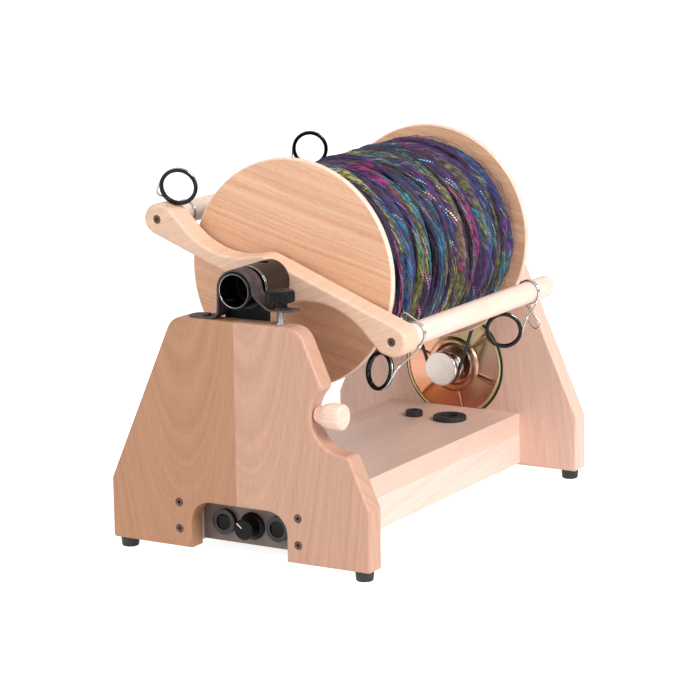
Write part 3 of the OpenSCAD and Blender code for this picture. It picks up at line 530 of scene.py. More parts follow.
def dish_height(reach, angle):
    """How far the dish stands off the board, in metres, at a point of it."""
    base = np.interp(reach / MM, dish_r, dish_h)
    part = (angle - first_rib) / (2 * math.pi / ribs) % 1
    crease = abs(2 * part - 1) ** 16
    along = np.interp(reach / MM, [32, 38, 54, 61], [0, 1, 1, 0])
    return (base + 2.0 * crease * along) * MM


motor_face = Vector((motor_axis.x, plate_high.y, motor_axis.z))
only()
bpy.ops.mesh.primitive_circle_add(vertices=360, radius=boss_r, location=motor_face,
                                  rotation=(math.pi / 2, 0, 0))
dish = bpy.context.object
dish.name = "pressed_motor_plate"
edge_r = boss_r
rings_mm = [14, 20, 21.5, 23, 24, 25, 26, 27, 30, 31, 32, 33, 34, 36, 38, 41, 44, 47, 50, 53, 56, 58.5,
            60, 61, 62, 63, 63.8, 64.2]
with editing(dish):
    for next_r in [r * MM for r in rings_mm] + [plate_r + rim_band_w / 2]:
        bpy.ops.mesh.extrude_region_move()
        bpy.ops.transform.resize(value=[next_r / edge_r] * 3, center_override=motor_face)
        edge_r = next_r
settle(dish)
for v in dish.data.vertices:
    x, z = v.co.x - motor_face.x, v.co.z - motor_face.z
    v.co.y = plate_high.y - dish_height(math.hypot(x, z), math.atan2(z, x))
with editing(dish):
    bpy.ops.mesh.normals_make_consistent(inside=False)
if dish.data.polygons[0].normal.y > 0:
    dish.data.flip_normals()
modify(dish, "SOLIDIFY", thickness=0.7 * MM, offset=-1)
with editing(dish):
    bpy.ops.mesh.bisect(plane_co=(0, 0, plate_low.z), plane_no=(0, 0, 1), use_fill=True,
                        clear_inner=True)
    bpy.ops.mesh.select_all(action="SELECT")
    bpy.ops.mesh.normals_make_consistent(inside=False)


def yellow_zinc():
    """Zinc plating passivated in chromate: thin film colours that drift over the metal."""
    made, tree, out = material("yellow zinc passivated steel")
    place = add(tree, "TexCoord", take="Object")
    axes = add(tree, "SeparateXYZ", {0: place}).node.outputs
    above = add(tree, "Math", {0: axes[2], 1: motor_face.z}, operation="SUBTRACT")
    spot = add(tree, "CombineXYZ", {0: axes[0], 1: above})
    # The tint follows the way that each side of the disc hung in the bath.
    round_it = add(tree, "TexGradient", {"Vector": spot}, gradient_type="RADIAL")
    film = add(tree, "TexNoise", {"Vector": place, "Scale": 16, "Detail": 1, "Distortion": 0.8})
    film = add(tree, "MapRange", {0: film, 3: -0.14, 4: 0.14})
    film = add(tree, "Math", {0: film, 1: round_it}, operation="ADD")
    tint = add(tree, "ValToRGB", {0: film})
    stops = ((0.02, "d49b80"), (0.13, "bd7a4c"), (0.25, "b26a48"), (0.37, "a96c55"),
             (0.45, "b58d70"), (0.53, "b28a7c"), (0.62, "9c9068"), (0.76, "857350"), (0.90, "c8957c"))
    ramp = tint.node.color_ramp
    while len(ramp.elements) < len(stops):
        ramp.elements.new(0.5)
    for element, (spot_at, code) in zip(ramp.elements, stops):
        element.position = spot_at
        element.color = colour(code)
    reach = add(tree, "VectorMath", {0: spot}, take="Value", operation="LENGTH")
    lip = add(tree, "MapRange", {0: reach, 1: 61.3 * MM, 2: 62.6 * MM})
    tint = add(tree, "Mix", {0: lip, 6: tint, 7: colour("b3ae7e")},
               take=2, data_type="RGBA")
    fine = add(tree, "TexNoise", {"Vector": place, "Scale": 900, "Detail": 2})
    worn = add(tree, "MapRange", {0: fine, 3: 0.2, 4: 0.36})
    relief = add(tree, "Bump", {"Height": fine, "Strength": 0.05, "Distance": 0.0002})
    skin = add(tree, "BsdfPrincipled", {"Base Color": tint, "Metallic": 1.0,
                                        "Roughness": worn, "Normal": relief})
    tree.links.new(skin, out.inputs["Surface"])
    return made


def second_finish(piece, finish, test):
    """Gives the faces that pass a test, on their middle and normal, another material."""
    piece.data.materials.append(finish)
    index = len(piece.data.materials) - 1
    for face in piece.data.polygons:
        if test(face.center, face.normal):
            face.material_index = index


# The dish's outermost band, past 64.1 mm, gets a near-black finish: a thin dark line round it.
rim_band_black = coated("black rim band", "120f0e", 0.7, 0.5 * MM)
fit(dish, yellow_zinc(), "motor_plate", smooth=18)
second_finish(dish, rim_band_black, lambda middle, normal: math.hypot(
    middle.x - motor_face.x, middle.z - motor_face.z) > 64.1 * MM)
paint(zinc, "motor_body", "motor_screws")

# ---- Motor pulley and belt ----
# A pulley turned from steel bar on the motor's shaft: its face keeps the tool's fine
# rings, and its rim is polished. A round black belt runs from it up to the whorl.
turned_steel = metal("turned steel", "cfc6bd", 0.3, 0.45 * MM, turned=(motor_axis.x, motor_axis.z),
                     bump=0.35, mottle=0.05)
polished = metal("polished steel", "d6d4d2", 0.1, 0.5 * MM, bump=0.03)
dress(turned_steel, 0.5 * MM, "motor_pulley", steps=3)
second_finish(bpy.data.objects["motor_pulley_eased"], polished,
              lambda middle, normal: abs(normal.y) < 0.9)
paint(polished, "motor_shaft")


def smoothed(node, name, levels):
    """A copy of a faceted, swept CAD node, subdivided until it looks round."""
    piece = merged_copy(node, name, merge_flat=False)
    with editing(piece):
        bpy.ops.mesh.tris_convert_to_quads(face_threshold=math.radians(30))
    modify(piece, "SUBSURF", levels=levels, render_levels=levels)
    return piece


belt_rubber = coated("round urethane belt", "17171a", 0.45, 0.4 * MM, bump=0.08)
fit(smoothed("drive_belt", "round_belt", 2), belt_rubber, "drive_belt")

# ---- Controls ----
# Two round rocker switches and a speed control stand in the panel. The switches have
# glossy moulded bezels, and the knob has a ribbed body on a wide skirt, and a white line.
gloss_plastic = coated("gloss black plastic", "0c0c0d", 0.2, 0.9 * MM, bump=0.03, gloss=0.1, shine=0.35)
knob_plastic = coated("satin black plastic", "090909", 0.36, 0.5 * MM, bump=0.12, shine=0.14)
dress(gloss_plastic, 0.6 * MM, "switch_housings", steps=3)
dress(knob_plastic, 0.5 * MM, "power_rocker", "direction_rocker", steps=3)
dress(knob_plastic, 0.3 * MM, "speed_knob", angle=30)
paint(zinc, "speed_pot")
dress(block_plastic, 0.4 * MM, "power_inlet")

pointer_angle = math.radians(142)
knob_axis = pivot["speed_turn"]
pointer_long, pointer_wide, pointer_high = 8 * MM, 1.1 * MM, 0.5 * MM
pointer_from = 2.5 * MM
knob_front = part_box("speed_knob")[0].y
middle = pointer_from + pointer_long / 2
only()
bpy.ops.mesh.primitive_cube_add(
    size=1, scale=(pointer_long, pointer_high, pointer_wide), rotation=(0, -pointer_angle, 0),
    location=(knob_axis.x + middle * math.cos(pointer_angle), knob_front + pointer_high / 2 - 0.1 * MM,
              knob_axis.z + middle * math.sin(pointer_angle)))
pointer = bpy.context.object
pointer.name = "knob_pointer"
settle(pointer)
ease(pointer, 0.2 * MM)
bpy.ops.object.shade_smooth_by_angle(angle=math.radians(35))
pointer.data.materials.append(coated("white paint filling", "f4f2ee", 0.5, 0.3 * MM, mottle=0.03))
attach(pointer, body_of["speed_knob"])


def solder_mask():
    """A circuit board's green mask, with paler copper tracks in it and dark parts on it."""
    made, tree, out = material("green solder mask")
    place = add(tree, "TexCoord", take="Object")
    tracks = add(tree, "TexBrick", {"Vector": place, "Scale": 60, "Mortar Size": 0.03,
                                    "Color1": colour("0d4a2c"), "Color2": colour("10573a"),
                                    "Mortar": colour("4c8a5a")})
    skin = add(tree, "BsdfPrincipled", {"Base Color": tracks, "Roughness": 0.35})
    tree.links.new(skin, out.inputs["Surface"])
    return made


paint(solder_mask(), "controller_board")

# ---- Flyer ----
# The arm is sawn from one beech board, thick and S-shaped, with its edges rounded over.
# Two beech dowels are let into it and screwed from the front, and it turns with the
# orifice: a black tube, a steel collar and a dark hub with the hole the yarn leaves by.
dowel_low, dowel_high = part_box("right_dowel")
dowel_x, dowel_drop = (dowel_low.x + dowel_high.x) / 2, flyer_axis.z - (dowel_low.z + dowel_high.z) / 2
dowel_reach, turned_by = math.hypot(dowel_x, dowel_drop), math.atan2(dowel_drop, dowel_x)
along_arm = Vector((math.cos(turned_by), 0, -math.sin(turned_by)))
arm_low, arm_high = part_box("flyer_arm")
arm_beech = beech("oiled beech, arm", ("e4c0a6", "e4c0a6"), ("dbb59b", "dbb59b"), along="X",
                  lean=turned_by, shift=0.2, ring=0.007)
arm = sawn_board("flyer_arm", "sawn_flyer_arm", 3.5 * MM, steps=5)
seats = [Vector((0, arm_low.y, flyer_axis.z)) + side * dowel_reach * along_arm for side in (-1, 1)]
drill(arm, *[cutter("drill", seat, (0, 1, 0), head_bore, head_depth) for seat in seats])

# A turned plug fills a cross hole over each dowel: one in the arm's top edge, and one below.
plug_r, plug_long, seam = 4.6 * MM, 6 * MM, 0.35 * MM
above_arm = along_arm.cross(Vector((0, 1, 0)))
arm_middle = (arm_low.y + arm_high.y) / 2
end_r = 17.3 * MM
for side in (-1, 1):
    out_way = -side * above_arm
    spot = (Vector((0, arm_middle, flyer_axis.z)) + side * (dowel_reach - 3.5 * MM) * along_arm
            + end_r * out_way)
    drill(arm, cutter("drill", spot, out_way, plug_r + seam, 2.4 * MM))
    plug = cutter("arm_plug", spot - out_way * plug_long / 2, out_way, plug_r, plug_long)
    ease(plug, 0.4 * MM, angle=50)
    fit(plug, arm_beech, "flyer_arm")
fit(arm, arm_beech, "flyer_arm")
dowel_beech = beech("oiled beech, dowels", ("f3d8c8", "f3d8c8"), ("ebcdbb", "ebcdbb"), along="Y",
                    shift=0.07, ring=0.004)
dress(dowel_beech, 0.8 * MM, "left_dowel", "right_dowel", steps=3, angle=20)
dress(bronzed, 0.2 * MM, "dowel_screws")

hub_finish = coated("satin dark brown anodising", "271e1b", 0.34, 0.4 * MM, bump=0.06,
                    mottle=0.06, shine=0.2)
dress(hub_finish, 0.8 * MM, "orifice_hub", steps=3, angle=50)
tube_finish = coated("gloss black enamel", "060606", 0.16, 1.0 * MM, bump=0.02, gloss=0.04, shine=0.2)
bright_edge = metal("bright bare steel edge", "8f8c88", 0.12, 0.4 * MM, bump=0.03)
dress(tube_finish, 0.7 * MM, "orifice_tube", steps=3, angle=50)
tube_low, tube_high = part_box("orifice_tube")
second_finish(bpy.data.objects["orifice_tube_eased"], bright_edge,
              lambda middle, normal: middle.y < tube_low.y + 0.6 * MM and normal.y > -0.97
              and (Vector((middle.x, 0, middle.z - flyer_axis.z)).dot(
                  Vector((normal.x, 0, normal.z))) < 0))
blued = metal("blued steel", "1c1c1e", 0.16, 0.5 * MM, bump=0.03)
dress(blued, 0.5 * MM, "tube_collar", steps=2, angle=50)
second_finish(bpy.data.objects["tube_collar_eased"], bright_edge,
              lambda middle, normal: 0.2 < abs(normal.y) < 0.97)
paint(ground_steel, "flyer_shaft")

# ---- Bobbin ----
# Two flanges of veneered plywood, with their edges rounded over, on a wound card tube. The
# edges are painted paler than the faces: painted light, for the light from above on them.
# White acetal bushes run on the shaft, and a black pulley, the whorl, is screwed behind the
# rear flange.
veneer = beech("sliced beech veneer", ("e3b897", "e3b897"), ("d59e7b", "d59e7b"), along="X",
               lean=math.radians(-20), pith=(0.01, 0.5), shift=0.31, ring=0.007, fleck=0.12,
               figure=0.06)
# The rims' paler tone is painted light: the light from above that falls on them.
rim_beech_painted_light = beech("beech rim, painted light from above", ("f6d5c2", "f6d5c2"), ("eec5ae", "eec5ae"), along="Y", shift=0.4)
for node in ("front_flange", "rear_flange"):
    dress(rim_beech_painted_light, 1.8 * MM, node, steps=4, angle=60)
    second_finish(bpy.data.objects[node + "_eased"], veneer,
                  lambda middle, normal: abs(normal.y) > 0.99)
acetal = coated("white acetal", "dcd7c8", 0.4, 0.6 * MM, bump=0.05, mottle=0.04)
card = coated("wound card", "9a7c5e", 0.85, 0.8 * MM, bump=0.3, mottle=0.15)
paint(card, "bobbin_tube")
dress(acetal, 0.3 * MM, "bobbin_bushes")
dress(block_plastic, 0.6 * MM, "whorl")

# ---- Yarn ----
# Hand-spun art yarn, wound on by the bobbin: thick and thin strands of dyed wool with
# silk and glittering binder threads in them. It is piled up unevenly, and it is fuzzy.
core_low, core_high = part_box("yarn_core")
core_r = core_high.x
yarn_front, yarn_back = core_low.y, core_high.y
yarn_axis = Vector((0, 0, flyer_axis.z))


def drift(turns, seed, waves=((0.31, 1.0), (0.83, 0.7), (1.9, 0.4), (4.1, 0.2))):
    """A slow, smooth, repeatable wander between about -1 and 1, from a sum of sines."""
    chance = np.random.default_rng(seed)
    total = sum(size for rate, size in waves)
    return sum(size * np.sin(2 * math.pi * (turns * rate * chance.uniform(0.85, 1.15)
                                            + chance.uniform())) for rate, size in waves) / total * 1.6


def tube_mesh(name, runs):
    """One mesh of round strands. Each run is (path, radii, ups, sides, start, roughness): a
    (count, 3) path, its radii, the outward direction at each point, the number of sides, the
    length where its pattern starts, and how lumpy its skin is. UV is metres along the
    strand and turns round it."""
    points, faces, uvs, first = [], [], [], 0
    for path, radii, ups, sides, start, lumps in runs:
        count = len(path)
        way = np.gradient(path, axis=0)
        way /= np.linalg.norm(way, axis=1)[:, None]
        side = np.cross(way, ups)
        side /= np.linalg.norm(side, axis=1)[:, None]
        out_way = np.cross(side, way)
        spin = np.arange(sides) * 2 * math.pi / sides
        size = radii[:, None] * (1 + lumps)
        ring = (path[:, None] + size[:, :, None] * (np.cos(spin)[None, :, None] * out_way[:, None]
                                                    + np.sin(spin)[None, :, None] * side[:, None]))
        points.append(ring.reshape(-1, 3))
        along = start + np.concatenate(([0], np.cumsum(np.linalg.norm(np.diff(path, axis=0),
                                                                      axis=1))))
        for i in range(count - 1):
            for k in range(sides):
                a, b = first + i * sides + k, first + i * sides + (k + 1) % sides
                faces.append((a, a + sides, b + sides, b))
                uvs.extend(((along[i], k / sides), (along[i + 1], k / sides),
                            (along[i + 1], (k + 1) / sides), (along[i], (k + 1) / sides)))
        faces.append(tuple(first + k for k in range(sides)))
        uvs.extend([(along[0], k / sides) for k in range(sides)])
        faces.append(tuple(first + (count - 1) * sides + k for k in reversed(range(sides))))
        uvs.extend([(along[-1], k / sides) for k in reversed(range(sides))])
        first += count * sides
    mesh = bpy.data.meshes.new(name)
    mesh.from_pydata(np.concatenate(points).tolist(), [], faces)
    layer = mesh.uv_layers.new(name="strand")
    layer.data.foreach_set("uv", np.array(uvs, dtype=np.float32).ravel())
    return placed(name, mesh)


def slump(depth):
    """How far the pile sinks towards the front flange, where less yarn was wound."""
    return np.interp((depth - yarn_front) / (yarn_back - yarn_front), [0, 0.3, 0.75], [7 * MM, 4.6 * MM, 0])


def wound(seed, turns, reach, heap, thick, uneven, sway, sides, step=5.5 * MM):
    """A strand wound from flange to flange: its middle's radius and how far that heaves,
    its thickness and how uneven that is, and how far it sways along the bobbin."""
    count = int(turns * 2 * math.pi * reach / step)
    t = np.linspace(0, turns, count)
    chance = np.random.default_rng(seed)
    radii = thick * (1 + uneven * drift(t, seed + 1, ((0.9, 0.6), (2.7, 1.0), (6.3, 0.6))))
    edge = thick * (1 + uneven)
    depth = yarn_front + edge + (yarn_back - yarn_front - 2 * edge) * t / turns
    depth = np.clip(depth + sway * drift(t, seed + 2), yarn_front + radii, yarn_back - radii)
    high = reach + heap * drift(t, seed + 3, ((0.21, 1.0), (0.57, 0.8), (1.7, 0.4))) - slump(depth)
    # The strand's two ends dive under the others.
    tuck = np.minimum(1, np.minimum(t, turns - t) * 8)
    high = core_r - 8 * MM + (high - core_r + 8 * MM) * tuck
    angle = 2 * math.pi * t
    out_way = np.stack([np.sin(angle), np.zeros(count), np.cos(angle)], axis=1)
    path = yarn_axis[:] + high[:, None] * out_way
    path[:, 1] = depth
    lumps = chance.normal(0, 0.11, (count, sides))
    lumps = (np.roll(lumps, 1, 0) + 2 * lumps + np.roll(lumps, -1, 0)) / 3
    return path, radii * (0.3 + 0.7 * tuck), out_way, sides, seed * 7.3, lumps


def wool(name, sheen):
    """Dyed wool: patches of colour along the strand, fibres of the next colours drawn
    through them, and binder threads in their own colours, with their glitter painted on as
    rows of bright glints."""
    made, tree, out = material(name)
    # Sheen gives the soft pale edge of loose fibre, and the skin itself is dull.
    along, round_it, _ = add(tree, "SeparateXYZ", {0: add(tree, "TexCoord", take="UV")}).node.outputs
    twist = add(tree, "Math", {0: along, 1: 8, 2: round_it}, operation="MULTIPLY_ADD")
    # A closed loop round the strand, so that the fibres meet where v starts again
    turn = add(tree, "Math", {0: twist, 1: 2 * math.pi}, operation="MULTIPLY")
    sine = add(tree, "Math", {0: turn}, operation="SINE")
    cosine = add(tree, "Math", {0: turn}, operation="COSINE")

    def streaks(stretch, detail):
        far = add(tree, "Math", {0: along, 1: stretch}, operation="MULTIPLY")
        spot = add(tree, "CombineXYZ", {0: sine, 1: cosine, 2: far})
        return add(tree, "TexNoise", {"Vector": spot, "Scale": 2.4, "Detail": detail})

    dyes = ("2a1638", "4c2070", "2a2f74", "157f9c", "341d46", "7a7a32", "aaa444", "4a1f66",
            "148a8c", "68226e", "2e2450", "66662f", "1e5c98", "50205a", "a62c72", "241640")

    def dyed(patch, shift, wobble):
        edge = add(tree, "Math", {0: wobble, 1: 1.1}, operation="MULTIPLY")
        place = add(tree, "Math", {0: along, 1: 1 / patch, 2: edge},
                    operation="MULTIPLY_ADD")
        cell = add(tree, "Math", {0: place, 1: shift}, operation="ADD")
        cell = add(tree, "Math", {0: cell}, operation="FLOOR")
        chance = add(tree, "TexWhiteNoise", {"W": cell}, noise_dimensions="1D")
        pick = add(tree, "ValToRGB", {0: chance})
        pick.node.color_ramp.interpolation = "CONSTANT"
        elements = pick.node.color_ramp.elements
        while len(elements) < len(dyes):
            elements.new(0.5)
        for i, code in enumerate(dyes):
            elements[i].position = i / len(dyes)
            elements[i].color = colour(code)
        return pick

    wide, fine = streaks(9, 3), streaks(30, 4)
    ground = dyed(0.13, 0.0, wide)
    second = dyed(0.05, 31.5, fine)
    drawn = add(tree, "MapRange", {0: wide, 1: 0.50, 2: 0.60})
    mixed = add(tree, "Mix", {0: drawn, 6: ground, 7: second}, take=2, data_type="RGBA")
    # Dark fibres carded in with the dyed ones
    heather = streaks(75, 5)
    dark = add(tree, "MapRange", {0: heather, 1: 0.42, 2: 0.60, 3: 0.0, 4: 0.8})
    mixed = add(tree, "Mix", {0: dark, 6: mixed, 7: colour("21182a")},
                take=2, data_type="RGBA")
    fibre = add(tree, "MapRange", {0: fine, 1: 0.34, 2: 0.66, 3: 0.2, 4: 1.55})
    shaded = add(tree, "VectorMath", {0: mixed, 3: fibre}, operation="SCALE")
    # Binder threads: two thin lines wound round the strand, in their own colours, broken into
    # spots 2 mm long that are brightened as painted glints of their glitter
    lines = add(tree, "Math", {0: along, 1: 13, 2: round_it}, operation="MULTIPLY_ADD")
    lines = add(tree, "Math", {0: lines, 1: 2}, operation="MULTIPLY")
    lines = add(tree, "Math", {0: lines, 1: 0.5}, operation="PINGPONG")
    thread = add(tree, "Math", {0: lines, 1: 0.05}, operation="LESS_THAN")
    glint_spots = add(tree, "Math", {0: along, 1: 2 * math.pi / (3 * MM)}, operation="MULTIPLY")
    glint_spots = add(tree, "Math", {0: glint_spots}, operation="SINE")
    glint_spots = add(tree, "Math", {0: glint_spots, 1: -0.2}, operation="GREATER_THAN")
    patch = add(tree, "Math", {0: along, 1: 5.3}, operation="MULTIPLY")
    patch = add(tree, "TexNoise", {"W": patch, "Scale": 1}, noise_dimensions="1D")
    patch = add(tree, "Math", {0: patch, 1: 0.54}, operation="GREATER_THAN")
    glint = add(tree, "Math", {0: thread, 1: glint_spots}, operation="MULTIPLY")
    glint = add(tree, "Math", {0: glint, 1: patch}, operation="MULTIPLY")
    metallic = dyed(0.21, 57.2, fine)
    # The thread's colour is brightened in these spots: painted glints.
    bright = add(tree, "VectorMath", {0: metallic, 3: 2.2}, operation="SCALE")
    pale = add(tree, "VectorMath", {0: bright, 1: colour("6f6a50")[:3]})
    top = add(tree, "Mix", {0: glint, 6: shaded, 7: pale},
              take=2, data_type="RGBA")
    rough = add(tree, "MapRange", {0: glint, 3: 0.85, 4: 0.4})
    relief = add(tree, "Bump", {"Height": fine, "Strength": 0.9, "Distance": 0.0016})
    skin = add(tree, "BsdfPrincipled", {"Base Color": top, "Roughness": rough,
                                        "Normal": relief, "Sheen Weight": sheen,
                                        "Sheen Roughness": 0.5})
    tree.links.new(skin, out.inputs["Surface"])
    return made


yarn_wool = wool("hand-spun dyed wool", 0.04)
# Under the outer layer lies the rest of the yarn, a ring on the card tube. It is turned
# from a profile of wound strands, pushed up and down where they cross.
tube_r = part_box("bobbin_tube")[1].x
only()
bpy.ops.mesh.primitive_circle_add(vertices=220, radius=tube_r, rotation=(math.pi / 2, 0, 0),
                                  location=(0, yarn_front, flyer_axis.z))
under = bpy.context.object
under.name = "inner_yarn"
layers = 84
profile = [(core_r, yarn_front)] + [(core_r, yarn_front + (yarn_back - yarn_front) * i / layers)
                                    for i in range(1, layers + 1)] + [(tube_r, yarn_back)]
at_r, at_y = tube_r, yarn_front
with editing(under):
    for next_r, next_y in profile:
        bpy.ops.mesh.extrude_region_move(TRANSFORM_OT_translate={"value": (0, next_y - at_y, 0)})
        grow = next_r / at_r
        bpy.ops.transform.resize(value=(grow, 1, grow), center_override=(0, next_y, flyer_axis.z))
        at_r, at_y = next_r, next_y
    bpy.ops.mesh.select_all(action="SELECT")
    bpy.ops.mesh.bridge_edge_loops()
    bpy.ops.mesh.select_all(action="SELECT")
    bpy.ops.mesh.normals_make_consistent(inside=False)
settle(under)
for v in under.data.vertices:
    across = Vector((v.co.x, 0, v.co.z - flyer_axis.z))
    if across.length > core_r - 1 * MM and yarn_front + 1 * MM < v.co.y < yarn_back - 1 * MM:
        round_it = math.atan2(across.x, across.z)
        strand = (v.co.y - yarn_front) / (9.2 * MM) - round_it / (2 * math.pi)
        push = 2.2 * MM * abs(math.sin(math.pi * strand + 0.5 * math.sin(3 * round_it)))
        v.co += across.normalized() * (push - slump(v.co.y))


def shaded_wool(name, code):
    """The same wool in the shade between strands, where its colours run together."""
    made, tree, out = material(name)
    place = add(tree, "TexCoord", take="Object")
    drawn = add(tree, "Mapping", {"Vector": place, "Scale": (30, 260, 30)})
    fine = add(tree, "TexNoise", {"Vector": drawn, "Scale": 1, "Detail": 4})
    cloud = add(tree, "TexNoise", {"Vector": place, "Scale": 26, "Detail": 2})
    tint = add(tree, "Mix", {0: cloud, 6: colour(code), 7: colour("1c3a52")},
               take=2, data_type="RGBA")
    fibre = add(tree, "MapRange", {0: fine, 1: 0.3, 2: 0.7, 3: 0.4, 4: 1.5})
    shade = add(tree, "VectorMath", {0: tint, 3: fibre}, operation="SCALE")
    relief = add(tree, "Bump", {"Height": fine, "Strength": 0.8, "Distance": 0.001})
    skin = add(tree, "BsdfPrincipled", {"Base Color": shade, "Roughness": 0.95,
                                        "Normal": relief})
    tree.links.new(skin, out.inputs["Surface"])
    return made


fit(under, shaded_wool("shaded wool", "180c22"), "yarn_core", smooth=180)

pile = {"thick_yarn": (wound(11, 22, 107.6 * MM, 2.4 * MM, 6.0 * MM, 0.34, 6 * MM, 12),
                       wound(12, 12, 109.0 * MM, 2.4 * MM, 5.2 * MM, 0.40, 11 * MM, 12)),
        "thin_yarn": (wound(21, 11, 111.4 * MM, 2.2 * MM, 3.4 * MM, 0.42, 16 * MM, 10),
                      wound(22, 6, 113.6 * MM, 1.4 * MM, 2.0 * MM, 0.40, 22 * MM, 8))}
for name, runs in pile.items():
    strands = tube_mesh(name, runs)
    only(strands)
    bpy.ops.object.shade_smooth()
    strands.data.materials.append(yarn_wool)
    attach(strands, "bobbin")
    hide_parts("yarn_winding")

# Loose fibres stand off the yarn in short curls and blur its outline.
chance = np.random.default_rng(5)
fibres, fibre_count, pile_r, clear_end = [], 5200, 113.5 * MM, 6 * MM
for number in range(fibre_count):
    spot = chance.uniform(0, 2 * math.pi)
    depth = chance.uniform(yarn_front + clear_end, yarn_back - clear_end)
    length, lift = chance.uniform(8 * MM, 24 * MM), chance.uniform(0.5 * MM, 3.4 * MM)
    t = np.linspace(0, 1, 4)
    angle = spot + t * length / (pile_r + 0.5 * MM) * chance.choice((-1, 1))
    high = pile_r - slump(depth) + chance.uniform(-2.5, 1.2) * MM + lift * np.sin(t * math.pi * 0.85)
    out_way = np.stack([np.sin(angle), np.zeros(4), np.cos(angle)], axis=1)
    path = yarn_axis[:] + high[:, None] * out_way
    path[:, 1] = depth + chance.normal(0, 2.2 * MM) * t + chance.normal(0, 1.0 * MM) * t * t
    radii = np.array([0.2, 0.2, 0.16, 0.08]) * MM
    fibres.append((path, radii, out_way, 3, chance.uniform(0, 60), np.zeros((4, 3))))
fuzz = tube_mesh("yarn_fuzz", fibres)
only(fuzz)
bpy.ops.object.shade_smooth()
fuzz.data.materials.append(wool("loose wool fibres", 0.08))
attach(fuzz, "bobbin")

# ---- Ring guides ----
# A glossy black grommet in a clip of bright spring wire. The wire goes round the ring,
# grips the dowel, and ends in a loop for a fingertip. There are two on each dowel.
grommet = coated("gloss black moulded grommet", "040405", 0.1, 1.2 * MM, bump=0.02, gloss=0.05, shine=0.2)
chrome = metal("bright chromed wire", "b2b0ac", 0.1, 0.8 * MM, bump=0.02, mottle=0.03)
for number in range(1, 5):
    ring_node, clip_node = f"guide_ring_{number}", f"guide_clip_{number}"
    dress(grommet, 0.9 * MM, ring_node, steps=3, angle=30)
    fit(smoothed(clip_node, clip_node + "_wire", 1), chrome, clip_node, smooth=180)


# ---- Brake strap ----
# A strap of dark waxed leather lies over the orifice tube and brakes the flyer. Its left
# tail is screwed to the upright, and its right end is pulled down by a knob on a stud.
def waxed_leather():
    """Waxed leather: a pebbled grain a millimetre across, and scuffs that show paler."""
    made, tree, out = material("waxed dark brown leather")
    place = add(tree, "TexCoord", take="Object")
    pebble = add(tree, "TexVoronoi", {"Vector": place, "Scale": 1 / (1.1 * MM)})
    cloud = add(tree, "TexNoise", {"Vector": place, "Scale": 120, "Detail": 5})
    tone = add(tree, "MapRange", {0: cloud, 1: 0.35, 2: 0.7})
    tint = add(tree, "Mix", {0: tone, 6: colour("231a1b"), 7: colour("453a3c")},
               take=2, data_type="RGBA")
    worn = add(tree, "MapRange", {0: cloud, 3: 0.46, 4: 0.66})
    relief = add(tree, "Bump", {"Height": pebble, "Strength": 0.35,
                                "Distance": 0.0003})
    skin = add(tree, "BsdfPrincipled", {"Base Color": tint, "Roughness": worn,
                                        "Normal": relief})
    tree.links.new(skin, out.inputs["Surface"])
    return made


strap_low, strap_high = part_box("brake_strap")
washer_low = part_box("tension_washer")[0]
stud_low, stud_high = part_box("tension_stud")
stud_x, stud_y = (stud_low.x + stud_high.x) / 2, (stud_low.y + stud_high.y) / 2
rod_r = 3.8 * MM
screw_low, screw_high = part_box("strap_screw")
leather_t = 2.2 * MM
over_r = tube_high.x + 0.4 * MM + leather_t / 2
tail_z = strap_low.z + leather_t / 2
tongue_z = washer_low.z - 0.2 * MM - leather_t / 2
arch_angles = [math.radians(a) for a in range(180, 9, -10)]
strap_line = ([(strap_low.x, tail_z), (strap_low.x + 6 * MM, tail_z), (-over_r - 17 * MM, tail_z),
               (-over_r - 8 * MM, tail_z + 0.6 * MM), (-over_r - 1.5 * MM, tail_z + 6 * MM),
               (-over_r - 0.1 * MM, flyer_axis.z - 13 * MM)]
              + [(over_r * math.cos(a), flyer_axis.z + over_r * math.sin(a)) for a in arch_angles]
              + [(over_r + 2.2 * MM, flyer_axis.z - 4 * MM), (stud_x - 14 * MM, tongue_z + 3.2 * MM),
                 (stud_x - 8 * MM, tongue_z + 0.3 * MM), (stud_x, tongue_z),
                 (strap_high.x - 8 * MM, tongue_z + 0.3 * MM), (strap_high.x, tongue_z + 1.2 * MM)])


def eased_line(points, step):
    """A smooth line through points, with its own points a step apart."""
    knots = [points[0]] + list(points) + [points[-1]]
    fine = []
    for a, b, c, d in zip(knots, knots[1:], knots[2:], knots[3:]):
        a, b, c, d = (np.array(p) for p in (a, b, c, d))
        for t in np.arange(0, 1, 0.05):
            fine.append(0.5 * (2 * b + (c - a) * t + (2 * a - 5 * b + 4 * c - d) * t ** 2
                               + (3 * b - a - 3 * c + d) * t ** 3))
    fine = np.array(fine + [np.array(points[-1])])
    along = np.concatenate(([0], np.cumsum(np.linalg.norm(np.diff(fine, axis=0), axis=1))))
    count = int(along[-1] / step)
    even = np.linspace(0, along[-1], count + 1)
    return np.stack([np.interp(even, along, fine[:, k]) for k in range(fine.shape[1])], axis=1), even


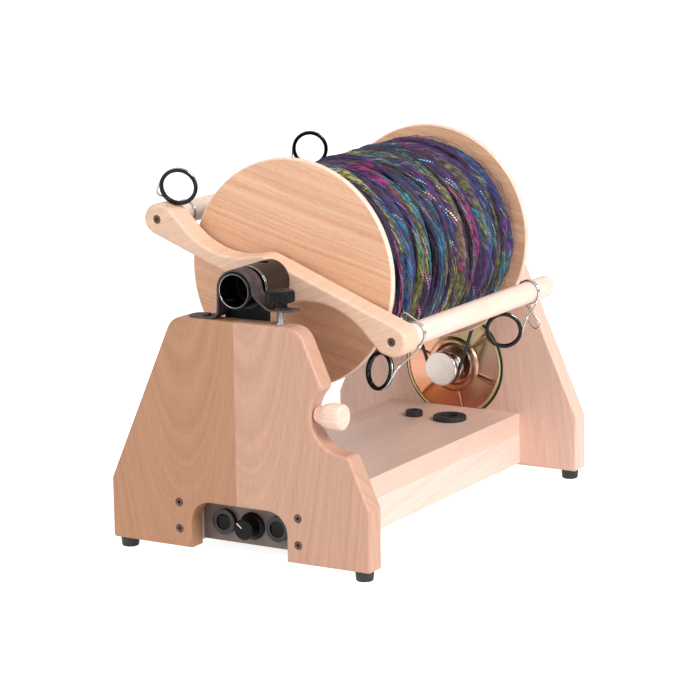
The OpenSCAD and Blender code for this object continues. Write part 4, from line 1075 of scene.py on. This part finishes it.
line, even = eased_line(strap_line, 1.5 * MM)
half_w = (strap_high.y - strap_low.y) / 2
mid_y = (strap_high.y + strap_low.y) / 2
tip = 9 * MM
rows = 14
only()
bpy.ops.mesh.primitive_grid_add(x_subdivisions=len(line) - 1, y_subdivisions=rows, size=2)
strap = bpy.context.object
strap.name = "leather_brake_strap"
for v in strap.data.vertices:
    i = round((v.co.x + 1) / 2 * (len(line) - 1))
    near_end = min(even[i], even[-1] - even[i]) + 0.4 * MM
    width = half_w * (1 if near_end > tip else math.sqrt(1 - (1 - near_end / tip) ** 2))
    curl = 0.35 * MM * math.sin(even[i] * 95) * v.co.y
    v.co = (line[i][0], mid_y + v.co.y * width, line[i][1] + max(0, curl))
modify(strap, "SOLIDIFY", thickness=leather_t, offset=0)
ease(strap, 0.5 * MM, angle=50)
with editing(strap):
    bpy.ops.mesh.normals_make_consistent(inside=False)
screw_x = (screw_low.x + screw_high.x) / 2
drill(strap, cutter("drill", (stud_x, stud_y, tongue_z), (0, 0, 1), rod_r + 0.3 * MM, 12 * MM),
      cutter("drill", (screw_x, stud_y, tail_z), (0, 0, 1), 2.2 * MM, 12 * MM))
fit(strap, waxed_leather(), "brake_strap", smooth=50)
dress(bronzed, 0.4 * MM, "strap_screw")

# The stud is a zinc plated threaded rod, with a pitch of 1 mm, and a nut at its foot.
only()
turns = int((stud_high.z - stud_low.z) / MM)
bpy.ops.mesh.primitive_cylinder_add(vertices=24, radius=rod_r, depth=stud_high.z - stud_low.z,
                                    location=(stud_x, stud_y, (stud_low.z + stud_high.z) / 2))
stud = bpy.context.object
stud.name = "threaded_stud"
settle(stud)
with editing(stud):
    for level in range(1, turns * 4):
        bpy.ops.mesh.select_all(action="SELECT")
        bpy.ops.mesh.bisect(plane_co=(0, 0, stud_low.z + level * MM / 4), plane_no=(0, 0, 1))
for v in stud.data.vertices:
    if stud_low.z + 0.1 * MM < v.co.z < stud_high.z - 0.1 * MM:
        angle = math.atan2(v.co.y - stud_y, v.co.x - stud_x)
        depth = abs((v.co.z / MM - angle / (2 * math.pi)) % 1 * 2 - 1) * 0.35 * MM
        shrink = 1 - depth / rod_r
        v.co.x, v.co.y = stud_x + (v.co.x - stud_x) * shrink, stud_y + (v.co.y - stud_y) * shrink
fit(stud, zinc, "tension_stud", smooth=20)
nut_h = 2.4 * MM
only()
bpy.ops.mesh.primitive_cylinder_add(vertices=6, radius=(stud_high.x - stud_low.x) / 2, depth=nut_h,
                                    rotation=(0, 0, math.pi / 2 - math.pi / 6), location=(
                                        stud_x, stud_y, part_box("front_upright")[1].z + nut_h / 2))
nut = bpy.context.object
nut.name = "stud_nut"
ease(nut, 0.5 * MM, steps=3, angle=70)
fit(nut, zinc, "tension_stud")
dress(bronzed, 0.2 * MM, "tension_washer")
dress(knob_plastic, 0.7 * MM, "tension_knob", steps=3)

# ---- Threading hook ----
# A steel wire hook in a turned beech handle. It is stored in the upright, with its
# handle in the scallop, where a finger can reach it.
handle_beech = beech("oiled beech, handle", ("efcdbc", "efcdbc"), ("e2b9a4", "e2b9a4"), along="X",
                     shift=0.6, ring=0.004)
dress(handle_beech, 0.8 * MM, "hook_handle", steps=3, angle=30)
paint(polished, "hook_wire")

# ---- Orifice reducers ----
# Two black rubber rings that narrow the orifice are stored in holes in the top board.
dress(foot_rubber, 0.5 * MM, "small_reducer", "large_reducer", steps=3)
